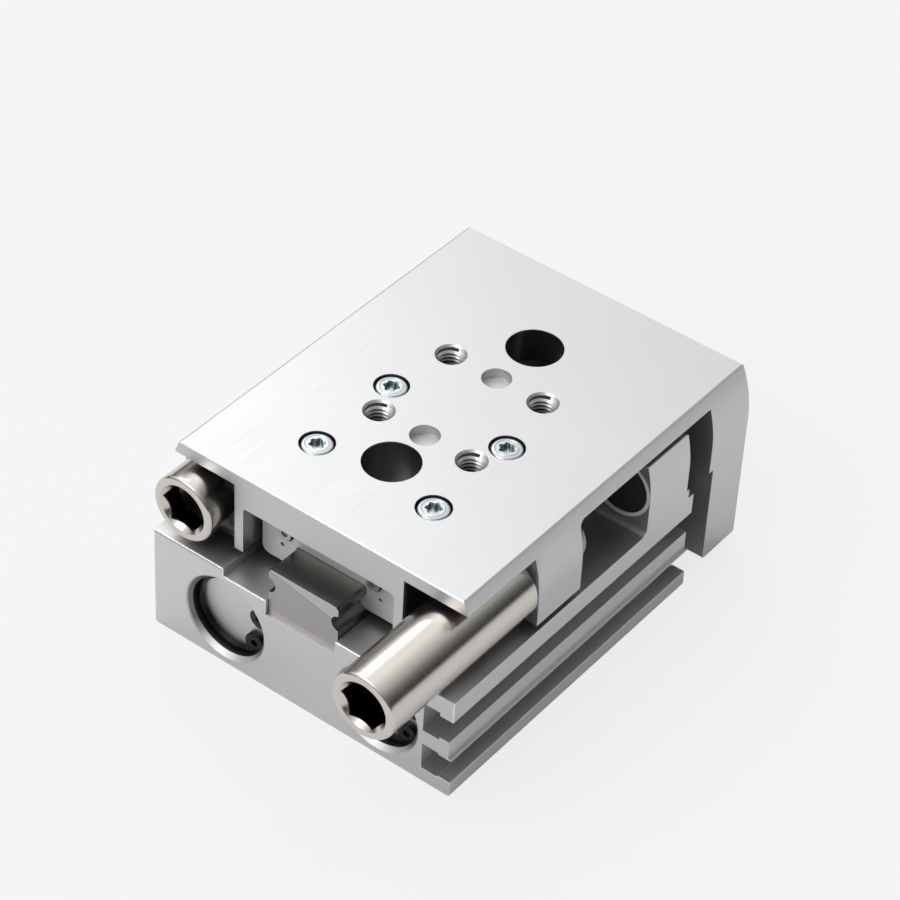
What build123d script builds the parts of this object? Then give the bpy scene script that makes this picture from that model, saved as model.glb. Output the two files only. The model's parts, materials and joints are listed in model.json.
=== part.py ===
from build123d import *
import math
import os

# Pneumatic slide table. Millimetres. X runs along the stroke towards the yoke, Y to the left, Z up.
# The origin lies on the mounting face, on the mid-plane, below the front edge of the table at rest.

# Common front-view outline of housing, table, yoke and lugs
CROWN_RISE = 11.0
CROWN_RADIUS = 27.0
EDGE_BREAK = 0.25

# Clearances
PRESS_CLEARANCE = 0.02
RUNNING_CLEARANCE = 0.05
THREAD_CLEARANCE = 0.05
STOP_CLEARANCE = 0.3
SLIDE_GAP = 0.6
BLOCK_GAP = 0.2
DECK_GAP = 1.0
RAIL_GAP = 0.1

# Guide rail and its screws
RAIL_WIDTH = 15.0
RAIL_HEIGHT = 10.0
RAIL_FRONT_INSET = 0.7
RAIL_REAR_INSET = 0.2
RAIL_CHAMFER = 0.5
RAIL_HOLE_INSET = 4.5
RAIL_HOLE_PITCH = 40.0
RAIL_HOLE_RADIUS = 1.75
RAIL_SINK_RADIUS = 3.0
RAIL_SINK_DEPTH = 4.5
RAIL_SCREW_REACH = 7.0
M3_RADIUS = 1.5
M3_HEAD_RADIUS = 2.75
M3_HEAD_HEIGHT = 3.0
M3_KEY = 2.5
KEY_DEPTH = 1.5

# Balls between rail and block
BALL_RADIUS = 1.5875
BALL_PITCH = 7.0
GROOVE_DEPTH = 1.4
GROOVE_HEIGHT = 6.5

# Guide block
BLOCK_WIDTH = 32.0
BLOCK_HEIGHT = 12.0
BLOCK_LIFT = 4.0
BLOCK_FRONT = 3.7
BLOCK_BODY_LENGTH = 26.7
END_CAP_LENGTH = 6.2
END_SEAL_THICKNESS = 1.5
END_CAP_STEP = 0.4
END_SEAL_STEP = 1.0
END_CAP_CORNER = 1.6
BLOCK_CORNER = 0.6
BLOCK_RAIL_GAP = 0.6
END_CAP_RAIL_GAP = 0.4
END_SEAL_RAIL_GAP = 0.1
RETURN_OFFSET = 12.5
RETURN_HEIGHT = 7.0
END_SCREW_OFFSET = 9.5
END_SCREW_DROP = 3.6
END_SCREW_RADIUS = 1.0
END_SCREW_HEAD_RADIUS = 1.7
END_SCREW_HEAD_HEIGHT = 0.9
END_SCREW_REACH = 4.0
END_SCREW_KEY = 1.3
END_SCREW_KEY_DEPTH = 0.5
GREASE_HOLE_RADIUS = 0.45
GREASE_HOLE_OUT = 1.1
GREASE_HOLE_DROP = 3.7
BLOCK_BOLT_X = 20.0
BLOCK_BOLT_Y = 25.0
BLOCK_BOLT_DEPTH = 4.0
BLOCK_BOLT_REACH = 3.5

# Housing
HOUSING_FRONT = -4.2
HOUSING_LENGTH = 68.1
BASE_WALL = 2.1
DECK_WALL = 1.9
SHELF_GAP = 1.4
BRACKET_GAP = 0.9
BRACKET_FILLET = 1.6
EXTENSION_BRACKET_SETBACK = 2.4
EXTENSION_BRACKET_LENGTH = 11.8
BRACKET_FOOT_REACH = 0.8
BRACKET_FOOT_HEIGHT = 2.1
RETRACTION_BRACKET_FRONT = 4.0
RETRACTION_BRACKET_LENGTH = 12.0

# Sensor slots in the right side
SLOT_DEPTH = 6.1
SLOT_LIP_DEPTH = 2.7
LOWER_SLOT_BOTTOM = 2.85
LOWER_SLOT_HEIGHT = 5.75
LOWER_SLOT_LIP = 0.35
UPPER_SLOT_BOTTOM = 11.7
UPPER_SLOT_HEIGHT = 6.3
UPPER_SLOT_LIP = 0.7
MIDDLE_FIN_STEP = 0.6

# Twin cylinders
BORE_RADIUS = 8.0
BORE_INSET = 15.9
BORE_CHAMFER = 0.9
RING_DEPTH = 2.0
RING_THICKNESS = 1.0
RING_BITE = 0.4
RING_WIDTH = 1.3
RING_GAP_ANGLE = 46.0
RING_EAR_RADIUS = 1.7
RING_EAR_HOLE = 0.7
CAP_LENGTH = 4.2
CAP_BOSS_LENGTH = 1.2
CAP_BOSS_RADIUS = 4.5
CAP_SEAL_SETBACK = 1.6
CAP_CHAMFER = 0.3
SEAL_WIDTH = 1.8
SEAL_SECTION = 1.4
PISTON_SETBACK = 0.3
PISTON_LENGTH = 10.0
PISTON_CLEARANCE = 0.1
PISTON_SEAL_SETBACK = 1.4
MAGNET_SETBACK = 5.2
MAGNET_WIDTH = 2.5
MAGNET_SINK = 0.2
SPIGOT_RADIUS = 3.0
ROD_RADIUS = 4.0
ROD_CHAMFER = 0.4
GLAND_RADIUS = 6.0
GLAND_WALL = 2.0
GLAND_LENGTH = 11.9
ROD_HOLE_GAP = 0.3
BUSH_LENGTH = 5.0
ROD_SEAL_LENGTH = 3.5
RETAINER_LENGTH = 1.5

# Air ports in the left side and the drillings behind them
PORT_DEPTH = 5.0
PORT_CHAMFER = 0.4
PORT_INSET = 9.2
PORT_GAP = 2.5
DRILLING_RADIUS = 0.7
DRILLING_SHIFT = 1.1

# Table and yoke
PLATE_THICKNESS = 7.0
FLANGE_THICKNESS = 2.7
RIB_THICKNESS = 1.9
RIB_GAP = 1.4
RIB_FILLET = 0.7
YOKE_GAP = 4.6
YOKE_THICKNESS = 11.1
YOKE_BOTTOM = 2.2
YOKE_STEP = 1.2
YOKE_STEP_RISE = 1.6
LUG_LENGTH = 12.1
LUG_FILLET = 1.5
EXTENSION_LUG_FRONT = 18.0

# Holes in the table top
ACCESS_RADIUS = 5.2
M5_RADIUS = 2.5
MOUNT_RIM = 0.4
MOUNT_PITCH = 20.0
MOUNT_CENTRE = 38.2
DOWEL_RADIUS = 2.7
DOWEL_DEPTH = 2.0
COUNTERBORE_RADIUS = 3.2
BLOCK_SCREW_HEAD = 2.2
BLOCK_SCREW_SINK = 0.3
SCREW_HOLE_GAP = 0.15

# Rod screws and the mounting holes in the yoke's rear face
M4_RADIUS = 2.0
M4_HEAD_RADIUS = 3.5
M4_HEAD_HEIGHT = 4.0
M4_KEY = 3.0
ROD_SCREW_SINK = 0.6
ROD_SCREW_REACH = 8.0
HEAD_GAP = 0.3
YOKE_MOUNT_Y = 18.0
YOKE_MOUNT_Z = 20.0
YOKE_MOUNT_BOTTOM = 14.0
YOKE_MOUNT_DEPTH = 8.0

# Mounting holes in the base
BASE_HOLE_RADIUS = 1.65
BASE_HOLE_DEPTH = 6.0
BASE_HOLE_X = 40.0
BASE_HOLE_Y = 10.0
BASE_HOLE_FRONT = 10.0
BASE_DOWEL_RADIUS = 1.5
BASE_DOWEL_DEPTH = 4.0
BASE_DOWEL_X = 24.0
BASE_DOWEL_FRONT = 18.0

# Stops
STOP_INSET = 6.3
SLEEVE_GAP = 1.4
SLEEVE_SIDE_GAP = 1.8
SLEEVE_RADIUS = 6.4
SLEEVE_EDGE = 0.6
SOCKET_KEY = 8.0
SOCKET_TURN = 6.0
SOCKET_MOUTH = 0.9
EXTENSION_SLEEVE_LENGTH = 38.6
EXTENSION_SOCKET_DEPTH = 8.0
RETRACTION_SLEEVE_LENGTH = 8.0
RETRACTION_SOCKET_DEPTH = 4.0
STOP_SCREW_RADIUS = 5.0
NOSE_RADIUS = 4.8
NOSE_ROUND = 1.2
NOSE_REACH = 3.9
NOSE_LENGTH = 3.6
EXTENSION_SCREW_LENGTH = 40.0
RETRACTION_SCREW_LENGTH = 15.4
ADJUSTER_KEY = 5.0
ADJUSTER_KEY_DEPTH = 4.0
SEAT_OUTER_RADIUS = 6.2
SEAT_WALL = 0.7
SEAT_DEPTH = 8.0
BUMPER_RECESS = 0.2

# Worked out from the sizes above
RIB_INNER = BLOCK_WIDTH / 2 + BLOCK_GAP
RIB_OUTER = RIB_INNER + RIB_THICKNESS
STOP_OFFSET = RIB_OUTER + SLEEVE_SIDE_GAP + SLEEVE_RADIUS
HALF = STOP_OFFSET + STOP_INSET
WIDTH = 2 * HALF
BORE_HEIGHT = BASE_WALL + BORE_RADIUS
DECK_TOP = BORE_HEIGHT + BORE_RADIUS + DECK_WALL
BLOCK_BOTTOM = DECK_TOP + DECK_GAP
RAIL_SEAT = BLOCK_BOTTOM - BLOCK_LIFT
BLOCK_TOP = BLOCK_BOTTOM + BLOCK_HEIGHT
HEIGHT = BLOCK_TOP + PLATE_THICKNESS
FLANGE_BOTTOM = HEIGHT - FLANGE_THICKNESS
STOP_HEIGHT = FLANGE_BOTTOM - SLEEVE_GAP - SLEEVE_RADIUS
SHELF_TOP = STOP_HEIGHT - SLEEVE_RADIUS - SHELF_GAP
CROWN_START = HEIGHT - CROWN_RISE
HOUSING_REAR = HOUSING_FRONT + HOUSING_LENGTH
RAIL_FRONT = HOUSING_FRONT + RAIL_FRONT_INSET
RAIL_REAR = HOUSING_REAR - RAIL_REAR_INSET
RAIL_HOLE_FRONT = RAIL_REAR - RAIL_HOLE_INSET - RAIL_HOLE_PITCH
BLOCK_BODY_FRONT = BLOCK_FRONT + END_SEAL_THICKNESS + END_CAP_LENGTH
BLOCK_BODY_REAR = BLOCK_BODY_FRONT + BLOCK_BODY_LENGTH
BLOCK_CENTRE = BLOCK_BODY_FRONT + BLOCK_BODY_LENGTH / 2
BLOCK_REAR = BLOCK_BODY_REAR + END_CAP_LENGTH + END_SEAL_THICKNESS
RAIL_TOP = RAIL_SEAT + RAIL_HEIGHT
BALL_HEIGHT = RAIL_SEAT + GROOVE_HEIGHT
BALL_OFFSET = RAIL_WIDTH / 2 + BALL_RADIUS - GROOVE_DEPTH
RIB_BOTTOM = SHELF_TOP + RIB_GAP
BRACKET_TOP = FLANGE_BOTTOM - BRACKET_GAP
EXTENSION_BRACKET_REAR = HOUSING_REAR - EXTENSION_BRACKET_SETBACK
EXTENSION_BRACKET_FRONT = EXTENSION_BRACKET_REAR - EXTENSION_BRACKET_LENGTH
RETRACTION_BRACKET_REAR = RETRACTION_BRACKET_FRONT + RETRACTION_BRACKET_LENGTH
BRACKET_INNER = RIB_OUTER + SLIDE_GAP
YOKE_FRONT = HOUSING_REAR + YOKE_GAP
TABLE_LENGTH = YOKE_FRONT + YOKE_THICKNESS
YOKE_STEP_HEIGHT = SHELF_TOP + YOKE_STEP_RISE
ROD_SEAT = YOKE_FRONT + YOKE_STEP
RING_FRONT = HOUSING_FRONT + RING_DEPTH
CAP_FRONT = RING_FRONT + RING_THICKNESS
PISTON_FRONT = CAP_FRONT + CAP_LENGTH + CAP_BOSS_LENGTH + PISTON_SETBACK
PISTON_REAR = PISTON_FRONT + PISTON_LENGTH
BORE_OFFSET = HALF - BORE_INSET
GLAND_FRONT = HOUSING_REAR - GLAND_LENGTH
BORE_END = GLAND_FRONT - GLAND_WALL
FRONT_PORT_X = HOUSING_FRONT + PORT_INSET
REAR_PORT_X = BORE_END - PORT_GAP
ROD_SCREW_SEAT = TABLE_LENGTH - ROD_SCREW_SINK - M4_HEAD_HEIGHT
SCREW_SEAT = HEIGHT - BLOCK_SCREW_SINK - BLOCK_SCREW_HEAD
RAIL_SCREW_SEAT = RAIL_TOP - RAIL_SINK_DEPTH
EXTENSION_LUG_REAR = EXTENSION_LUG_FRONT + LUG_LENGTH
EXTENSION_NOSE = EXTENSION_LUG_REAR + NOSE_REACH
RETRACTION_NOSE = RETRACTION_BRACKET_REAR + NOSE_REACH
RETRACTION_LUG_FRONT = RETRACTION_NOSE + STOP_CLEARANCE
SIDES = {"left": 1, "right": -1}


def along(profile, start, end):
    """A front-view profile, drawn as (y, z), extruded from one station in X to another."""
    return extrude(Plane.YZ.offset(start) * profile, end - start)


def pin(start, end, radius, y=0, z=0):
    return along(Pos(y, z) * Circle(radius), start, end)


def ring(start, end, outer, inner, y=0, z=0):
    return along(Pos(y, z) * (Circle(outer) - Circle(inner)), start, end)


def upright(x, y, bottom, top, radius):
    return Pos(x, y, (bottom + top) / 2) * Cylinder(radius, top - bottom)


def band(bottom, top, right=-WIDTH, left=WIDTH):
    return Pos((right + left) / 2, (bottom + top) / 2) * Rectangle(left - right, top - bottom)


def outline():
    """The shared front view: flat sides that curve in gently above the crown line."""
    side = Line((HALF, 0), (HALF, CROWN_START))
    turn = math.degrees(math.asin(CROWN_RISE / CROWN_RADIUS))
    crown = CenterArc((HALF - CROWN_RADIUS, CROWN_START), CROWN_RADIUS, 0, turn)
    rest = Polyline(crown @ 1, (0, HEIGHT), (0, 0), (HALF, 0))
    half = make_face([side, crown, rest])
    return half + mirror(half, Plane.YZ)


def near(value, places):
    return any(abs(value - place) < PRESS_CLEARANCE for place in places)


def cross_edges(solid, height, stations):
    """The edges that run straight across the stroke at one height, at the given stations in X."""
    edges = solid.edges().filter_by(Axis.Y)
    return edges.filter_by(lambda e: near(e.center().Z, [height]) and near(e.center().X, stations))


def along_edges(solid, offsets, height):
    """The edges that run straight along the stroke at one height, at the given offsets in Y."""
    edges = solid.edges().filter_by(Axis.X)
    return edges.filter_by(lambda e: near(e.center().Z, [height]) and near(e.center().Y, offsets))


def hexagon(key, turn=0):
    return Rot(0, 0, turn) * RegularPolygon(key / 2, 6, major_radius=False)


def both_sides(make):
    """The same piece on the left and on the right cylinder, as separate solids of one node."""
    return Compound([solid for sign in SIDES.values() for solid in make(sign).solids()])


def rail_profile(gap=0.0):
    """The rail's front view, grown by a gap where a piece runs over it."""
    half = RAIL_WIDTH / 2 + gap
    body = band(RAIL_SEAT, RAIL_TOP + gap, -half, half)
    body = chamfer(body.vertices().group_by(Axis.Y)[-1], RAIL_CHAMFER)
    for sign in SIDES.values():
        body -= Pos(sign * BALL_OFFSET, BALL_HEIGHT) * Circle(BALL_RADIUS + RUNNING_CLEARANCE - gap)
    return body


def sensor_slot(bottom, height, lip):
    web = -HALF + SLOT_DEPTH
    lips = -HALF + SLOT_LIP_DEPTH
    return band(bottom, bottom + height, lips, web) + band(bottom + lip, bottom + height - lip, -WIDTH, lips)


def make_housing():
    deck = BLOCK_WIDTH / 2 + DECK_GAP
    channel = RAIL_WIDTH / 2 + RAIL_GAP
    lower_top = LOWER_SLOT_BOTTOM + LOWER_SLOT_HEIGHT
    profile = outline() & band(0, SHELF_TOP)
    profile = chamfer(profile.vertices().group_by(Axis.Y)[0], EDGE_BREAK)
    profile -= band(DECK_TOP, HEIGHT, -deck, deck)
    profile -= band(RAIL_SEAT, HEIGHT, -channel, channel)
    profile -= sensor_slot(LOWER_SLOT_BOTTOM, LOWER_SLOT_HEIGHT, LOWER_SLOT_LIP)
    profile -= sensor_slot(UPPER_SLOT_BOTTOM, UPPER_SLOT_HEIGHT, UPPER_SLOT_LIP)
    profile -= band(lower_top, UPPER_SLOT_BOTTOM + UPPER_SLOT_LIP, -HALF, -HALF + MIDDLE_FIN_STEP)
    body = along(profile, HOUSING_FRONT, HOUSING_REAR)

    right = outline() & band(SHELF_TOP, BRACKET_TOP, -WIDTH, -BRACKET_INNER)
    left = outline() & band(SHELF_TOP, BRACKET_TOP, BRACKET_INNER, WIDTH)
    body += along(right, EXTENSION_BRACKET_FRONT, EXTENSION_BRACKET_REAR)
    body += along(left, RETRACTION_BRACKET_FRONT, RETRACTION_BRACKET_REAR)
    feet = [EXTENSION_BRACKET_FRONT, RETRACTION_BRACKET_FRONT, RETRACTION_BRACKET_REAR]
    body = fillet(cross_edges(body, SHELF_TOP, feet), BRACKET_FILLET)
    foot = right & band(SHELF_TOP, SHELF_TOP + BRACKET_FOOT_HEIGHT)
    body += along(foot, EXTENSION_BRACKET_REAR, EXTENSION_BRACKET_REAR + BRACKET_FOOT_REACH)
    ends = feet + [EXTENSION_BRACKET_REAR]
    inner_edges = along_edges(body, [-BRACKET_INNER, BRACKET_INNER], BRACKET_TOP)
    body = chamfer(cross_edges(body, BRACKET_TOP, ends) + inner_edges, EDGE_BREAK)

    for sign in SIDES.values():
        y = sign * BORE_OFFSET
        body -= pin(HOUSING_FRONT, BORE_END, BORE_RADIUS, y, BORE_HEIGHT)
        body -= pin(BORE_END, GLAND_FRONT, ROD_RADIUS + ROD_HOLE_GAP, y, BORE_HEIGHT)
        body -= pin(GLAND_FRONT, HOUSING_REAR, GLAND_RADIUS, y, BORE_HEIGHT)
        body -= pin(RING_FRONT, CAP_FRONT, BORE_RADIUS + RING_BITE + PRESS_CLEARANCE, y, BORE_HEIGHT)
        mouth = Cone(BORE_RADIUS + BORE_CHAMFER, BORE_RADIUS, BORE_CHAMFER)
        body -= Pos(HOUSING_FRONT + BORE_CHAMFER / 2, y, BORE_HEIGHT) * Rot(0, 90, 0) * mouth

    for x, shift in ((FRONT_PORT_X, -DRILLING_SHIFT), (REAR_PORT_X, DRILLING_SHIFT)):
        port = Pos(x, HALF, BORE_HEIGHT) * Rot(90, 0, 0)
        body -= port * Pos(0, 0, PORT_DEPTH / 2) * Cylinder(M5_RADIUS, PORT_DEPTH)
        body -= port * Pos(0, 0, PORT_CHAMFER / 2) * Cone(M5_RADIUS + PORT_CHAMFER, M5_RADIUS, PORT_CHAMFER)
        reach = HALF + BORE_OFFSET
        body -= port * Pos(shift, 0, reach / 2) * Cylinder(DRILLING_RADIUS, reach)

    for i in range(2):
        x = RAIL_HOLE_FRONT + i * RAIL_HOLE_PITCH
        bottom = RAIL_SEAT - RAIL_SCREW_REACH - THREAD_CLEARANCE
        body -= upright(x, 0, bottom, RAIL_SEAT, M3_RADIUS + THREAD_CLEARANCE)
        body -= upright(BASE_DOWEL_FRONT + i * BASE_DOWEL_X, 0, 0, BASE_DOWEL_DEPTH, BASE_DOWEL_RADIUS)
        for sign in SIDES.values():
            y = sign * BASE_HOLE_Y / 2
            body -= upright(BASE_HOLE_FRONT + i * BASE_HOLE_X, y, 0, BASE_HOLE_DEPTH, BASE_HOLE_RADIUS)

    seat_end = EXTENSION_BRACKET_FRONT + SEAT_DEPTH
    seat_hole = SEAT_OUTER_RADIUS + PRESS_CLEARANCE
    body -= pin(EXTENSION_BRACKET_FRONT, seat_end, seat_hole, -STOP_OFFSET, STOP_HEIGHT)
    stop_hole = STOP_SCREW_RADIUS + THREAD_CLEARANCE
    body -= pin(RETRACTION_BRACKET_FRONT, RETRACTION_BRACKET_REAR, stop_hole, STOP_OFFSET, STOP_HEIGHT)
    return body


def make_guide_rail():
    rail = along(rail_profile(), RAIL_FRONT, RAIL_REAR)
    for i in range(2):
        x = RAIL_HOLE_FRONT + i * RAIL_HOLE_PITCH
        rail -= upright(x, 0, RAIL_SEAT, RAIL_TOP, RAIL_HOLE_RADIUS)
        rail -= upright(x, 0, RAIL_SCREW_SEAT, RAIL_TOP, RAIL_SINK_RADIUS)
    return rail


def cap_screw(radius, reach, head_radius, head_height, key, key_depth):
    """A socket screw that stands along Z, with the underside of its head at the origin."""
    screw = upright(0, 0, -reach, 0, radius) + upright(0, 0, 0, head_height, head_radius)
    screw = chamfer(screw.edges().group_by(Axis.Z)[-1], CAP_CHAMFER)
    return screw - extrude(Pos(0, 0, head_height - key_depth) * hexagon(key), key_depth)


def make_rail_screws():
    reach = RAIL_SCREW_REACH + RAIL_SCREW_SEAT - RAIL_SEAT
    screw = cap_screw(M3_RADIUS, reach, M3_HEAD_RADIUS, M3_HEAD_HEIGHT, M3_KEY, KEY_DEPTH)
    return Compound([
        Pos(RAIL_HOLE_FRONT + i * RAIL_HOLE_PITCH, 0, RAIL_SCREW_SEAT) * screw for i in range(2)
    ])


def make_head_cap(sign):
    y = sign * BORE_OFFSET
    radius = BORE_RADIUS - PRESS_CLEARANCE
    cap = pin(CAP_FRONT, CAP_FRONT + CAP_LENGTH, radius, y, BORE_HEIGHT)
    cap = chamfer(cap.edges().group_by(Axis.X)[0], CAP_CHAMFER)
    groove = CAP_FRONT + CAP_SEAL_SETBACK - CAP_CHAMFER
    cap -= ring(groove, groove + SEAL_WIDTH, BORE_RADIUS, BORE_RADIUS - SEAL_SECTION, y, BORE_HEIGHT)
    boss = CAP_FRONT + CAP_LENGTH
    return cap + pin(boss, boss + CAP_BOSS_LENGTH, CAP_BOSS_RADIUS, y, BORE_HEIGHT)


def make_head_cap_seal(sign):
    start = CAP_FRONT + CAP_SEAL_SETBACK - CAP_CHAMFER
    inner = BORE_RADIUS - SEAL_SECTION + PRESS_CLEARANCE
    seal = ring(start, start + SEAL_WIDTH, BORE_RADIUS - PRESS_CLEARANCE, inner)
    return Pos(0, sign * BORE_OFFSET, BORE_HEIGHT) * seal


def make_retaining_ring(sign):
    """An internal circlip: an open ring with two drilled ears, both towards the right."""
    outer = BORE_RADIUS + RING_BITE
    half_gap = RING_GAP_ANGLE / 2
    rise = 2 * outer * math.tan(math.radians(half_gap))
    edge = Polyline((0, 0), (-2 * outer, 0), (-2 * outer, rise), (0, 0))
    opening = make_face(edge)
    profile = Circle(outer) - Circle(outer - RING_WIDTH) - opening - mirror(opening, Plane.XZ)
    ear_centre = outer - RING_EAR_RADIUS
    for turn in (180 - half_gap, 180 + half_gap):
        ear = Rot(0, 0, turn) * Pos(ear_centre, 0)
        profile = profile + ear * Circle(RING_EAR_RADIUS) - ear * Circle(RING_EAR_HOLE)
    profile = profile & Circle(outer)
    return along(Pos(sign * BORE_OFFSET, BORE_HEIGHT) * profile, RING_FRONT, CAP_FRONT)


def make_rod_bush(sign):
    radius = GLAND_RADIUS - PRESS_CLEARANCE
    bush = ring(GLAND_FRONT, GLAND_FRONT + BUSH_LENGTH, radius, ROD_RADIUS + RUNNING_CLEARANCE)
    return Pos(0, sign * BORE_OFFSET, BORE_HEIGHT) * bush


def make_rod_seal(sign):
    start = GLAND_FRONT + BUSH_LENGTH
    radius = GLAND_RADIUS - PRESS_CLEARANCE
    seal = ring(start, start + ROD_SEAL_LENGTH, radius, ROD_RADIUS + RUNNING_CLEARANCE)
    return Pos(0, sign * BORE_OFFSET, BORE_HEIGHT) * seal


def make_rod_retainer(sign):
    start = GLAND_FRONT + BUSH_LENGTH + ROD_SEAL_LENGTH
    retainer = ring(start, start + RETAINER_LENGTH, GLAND_RADIUS - PRESS_CLEARANCE, ROD_RADIUS + ROD_HOLE_GAP)
    retainer = chamfer(retainer.edges().group_by(Axis.X)[-1].sort_by(SortBy.RADIUS)[-1], CAP_CHAMFER)
    return Pos(0, sign * BORE_OFFSET, BORE_HEIGHT) * retainer


def make_piston(sign):
    y = sign * BORE_OFFSET
    outer = BORE_RADIUS - PISTON_CLEARANCE
    piston = ring(PISTON_FRONT, PISTON_REAR, outer, SPIGOT_RADIUS + PRESS_CLEARANCE, y, BORE_HEIGHT)
    rims = piston.edges().filter_by(GeomType.CIRCLE).filter_by(lambda e: e.radius > SPIGOT_RADIUS + 1)
    piston = chamfer(rims, CAP_CHAMFER)
    seal = PISTON_FRONT + PISTON_SEAL_SETBACK
    magnet = PISTON_FRONT + MAGNET_SETBACK
    for start, width in ((seal, SEAL_WIDTH), (magnet, MAGNET_WIDTH)):
        piston -= ring(start, start + width, BORE_RADIUS, BORE_RADIUS - SEAL_SECTION, y, BORE_HEIGHT)
    return piston


def make_piston_seal(sign):
    start = PISTON_FRONT + PISTON_SEAL_SETBACK
    inner = BORE_RADIUS - SEAL_SECTION + PRESS_CLEARANCE
    seal = ring(start, start + SEAL_WIDTH, BORE_RADIUS - RUNNING_CLEARANCE, inner)
    return Pos(0, sign * BORE_OFFSET, BORE_HEIGHT) * seal


def make_piston_magnet(sign):
    start = PISTON_FRONT + MAGNET_SETBACK
    outer = BORE_RADIUS - PISTON_CLEARANCE - MAGNET_SINK
    magnet = ring(start, start + MAGNET_WIDTH, outer, BORE_RADIUS - SEAL_SECTION + PRESS_CLEARANCE)
    return Pos(0, sign * BORE_OFFSET, BORE_HEIGHT) * magnet


def make_piston_rod(sign):
    rod = pin(PISTON_REAR, ROD_SEAT, ROD_RADIUS)
    rod = chamfer(rod.edges().group_by(Axis.X)[-1], ROD_CHAMFER)
    rod += pin(PISTON_FRONT, PISTON_REAR, SPIGOT_RADIUS)
    tapped = ROD_SEAT - ROD_SCREW_REACH - THREAD_CLEARANCE
    rod -= pin(tapped, ROD_SEAT, M4_RADIUS + THREAD_CLEARANCE)
    return Pos(0, sign * BORE_OFFSET, BORE_HEIGHT) * rod


def make_rod_screw(sign):
    reach = ROD_SCREW_SEAT - ROD_SEAT + ROD_SCREW_REACH
    screw = cap_screw(M4_RADIUS, reach, M4_HEAD_RADIUS, M4_HEAD_HEIGHT, M4_KEY, KEY_DEPTH)
    return Pos(ROD_SCREW_SEAT, sign * BORE_OFFSET, BORE_HEIGHT) * Rot(0, 90, 0) * screw


def make_table():
    body = outline()
    flange = body & band(FLANGE_BOTTOM, HEIGHT)
    channel = band(0, BLOCK_TOP, -RIB_INNER, RIB_INNER)
    channel = fillet(channel.vertices().group_by(Axis.Y)[-1], RIB_FILLET)
    ribs = band(RIB_BOTTOM, HEIGHT, -RIB_OUTER, RIB_OUTER) - channel
    table = along(flange + ribs, 0, YOKE_FRONT)

    right = body & band(RIB_BOTTOM, HEIGHT, -WIDTH, -RIB_OUTER)
    left = body & band(RIB_BOTTOM, HEIGHT, RIB_OUTER, WIDTH)
    table += along(right, EXTENSION_LUG_FRONT, EXTENSION_LUG_REAR)
    table += along(left, RETRACTION_LUG_FRONT, RETRACTION_LUG_FRONT + LUG_LENGTH)
    ends = [EXTENSION_LUG_REAR, RETRACTION_LUG_FRONT + LUG_LENGTH]
    table = fillet(cross_edges(table, FLANGE_BOTTOM, ends), LUG_FILLET)

    table += along(body & band(YOKE_BOTTOM, HEIGHT), YOKE_FRONT, TABLE_LENGTH)
    table -= along(band(0, YOKE_STEP_HEIGHT), YOKE_FRONT, ROD_SEAT)
    table = chamfer(table.faces().sort_by(Axis.Z)[-1].outer_wire().edges(), EDGE_BREAK)
    table = chamfer(cross_edges(table, YOKE_BOTTOM, [ROD_SEAT, TABLE_LENGTH]), EDGE_BREAK)

    for i in (-0.5, 0.5):
        x = RAIL_HOLE_FRONT + (i + 0.5) * RAIL_HOLE_PITCH
        table -= upright(x, 0, BLOCK_TOP, HEIGHT, ACCESS_RADIUS)
        for j in (-0.5, 0.5):
            x = BLOCK_CENTRE + i * BLOCK_BOLT_X
            y = j * BLOCK_BOLT_Y
            table -= upright(x, y, SCREW_SEAT, HEIGHT, COUNTERBORE_RADIUS)
            table -= upright(x, y, BLOCK_TOP, HEIGHT, M3_RADIUS + SCREW_HOLE_GAP)
            x = MOUNT_CENTRE + i * MOUNT_PITCH
            y = j * MOUNT_PITCH
            rim = Cone(M5_RADIUS, M5_RADIUS + MOUNT_RIM, MOUNT_RIM)
            table -= upright(x, y, BLOCK_TOP, HEIGHT, M5_RADIUS)
            table -= Pos(x, y, HEIGHT - MOUNT_RIM / 2) * rim
            y = j * YOKE_MOUNT_Y
            z = YOKE_MOUNT_BOTTOM + (i + 0.5) * YOKE_MOUNT_Z
            table -= pin(TABLE_LENGTH - YOKE_MOUNT_DEPTH, TABLE_LENGTH, M5_RADIUS, y, z)
            table -= Pos(TABLE_LENGTH - MOUNT_RIM / 2, y, z) * Rot(0, 90, 0) * rim
        table -= upright(MOUNT_CENTRE + i * MOUNT_PITCH, 0, HEIGHT - DOWEL_DEPTH, HEIGHT, DOWEL_RADIUS)

    for sign in SIDES.values():
        y = sign * BORE_OFFSET
        table -= pin(YOKE_FRONT, TABLE_LENGTH, M4_RADIUS + SCREW_HOLE_GAP, y, BORE_HEIGHT)
        table -= pin(ROD_SCREW_SEAT, TABLE_LENGTH, M4_HEAD_RADIUS + HEAD_GAP, y, BORE_HEIGHT)
    stop_hole = STOP_SCREW_RADIUS + THREAD_CLEARANCE
    table -= pin(EXTENSION_LUG_FRONT, EXTENSION_LUG_REAR, stop_hole, -STOP_OFFSET, STOP_HEIGHT)
    return table


def block_profile(step, rail_gap, corner):
    """The block's front view: an arch over the rail, inset all round by a step."""
    half = BLOCK_WIDTH / 2 - step
    arch = band(BLOCK_BOTTOM + step, BLOCK_TOP - step, -half, half)
    arch = fillet(arch.vertices(), corner)
    opening = RAIL_WIDTH / 2 + rail_gap
    return arch - band(0, RAIL_TOP + rail_gap, -opening, opening)


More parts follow.
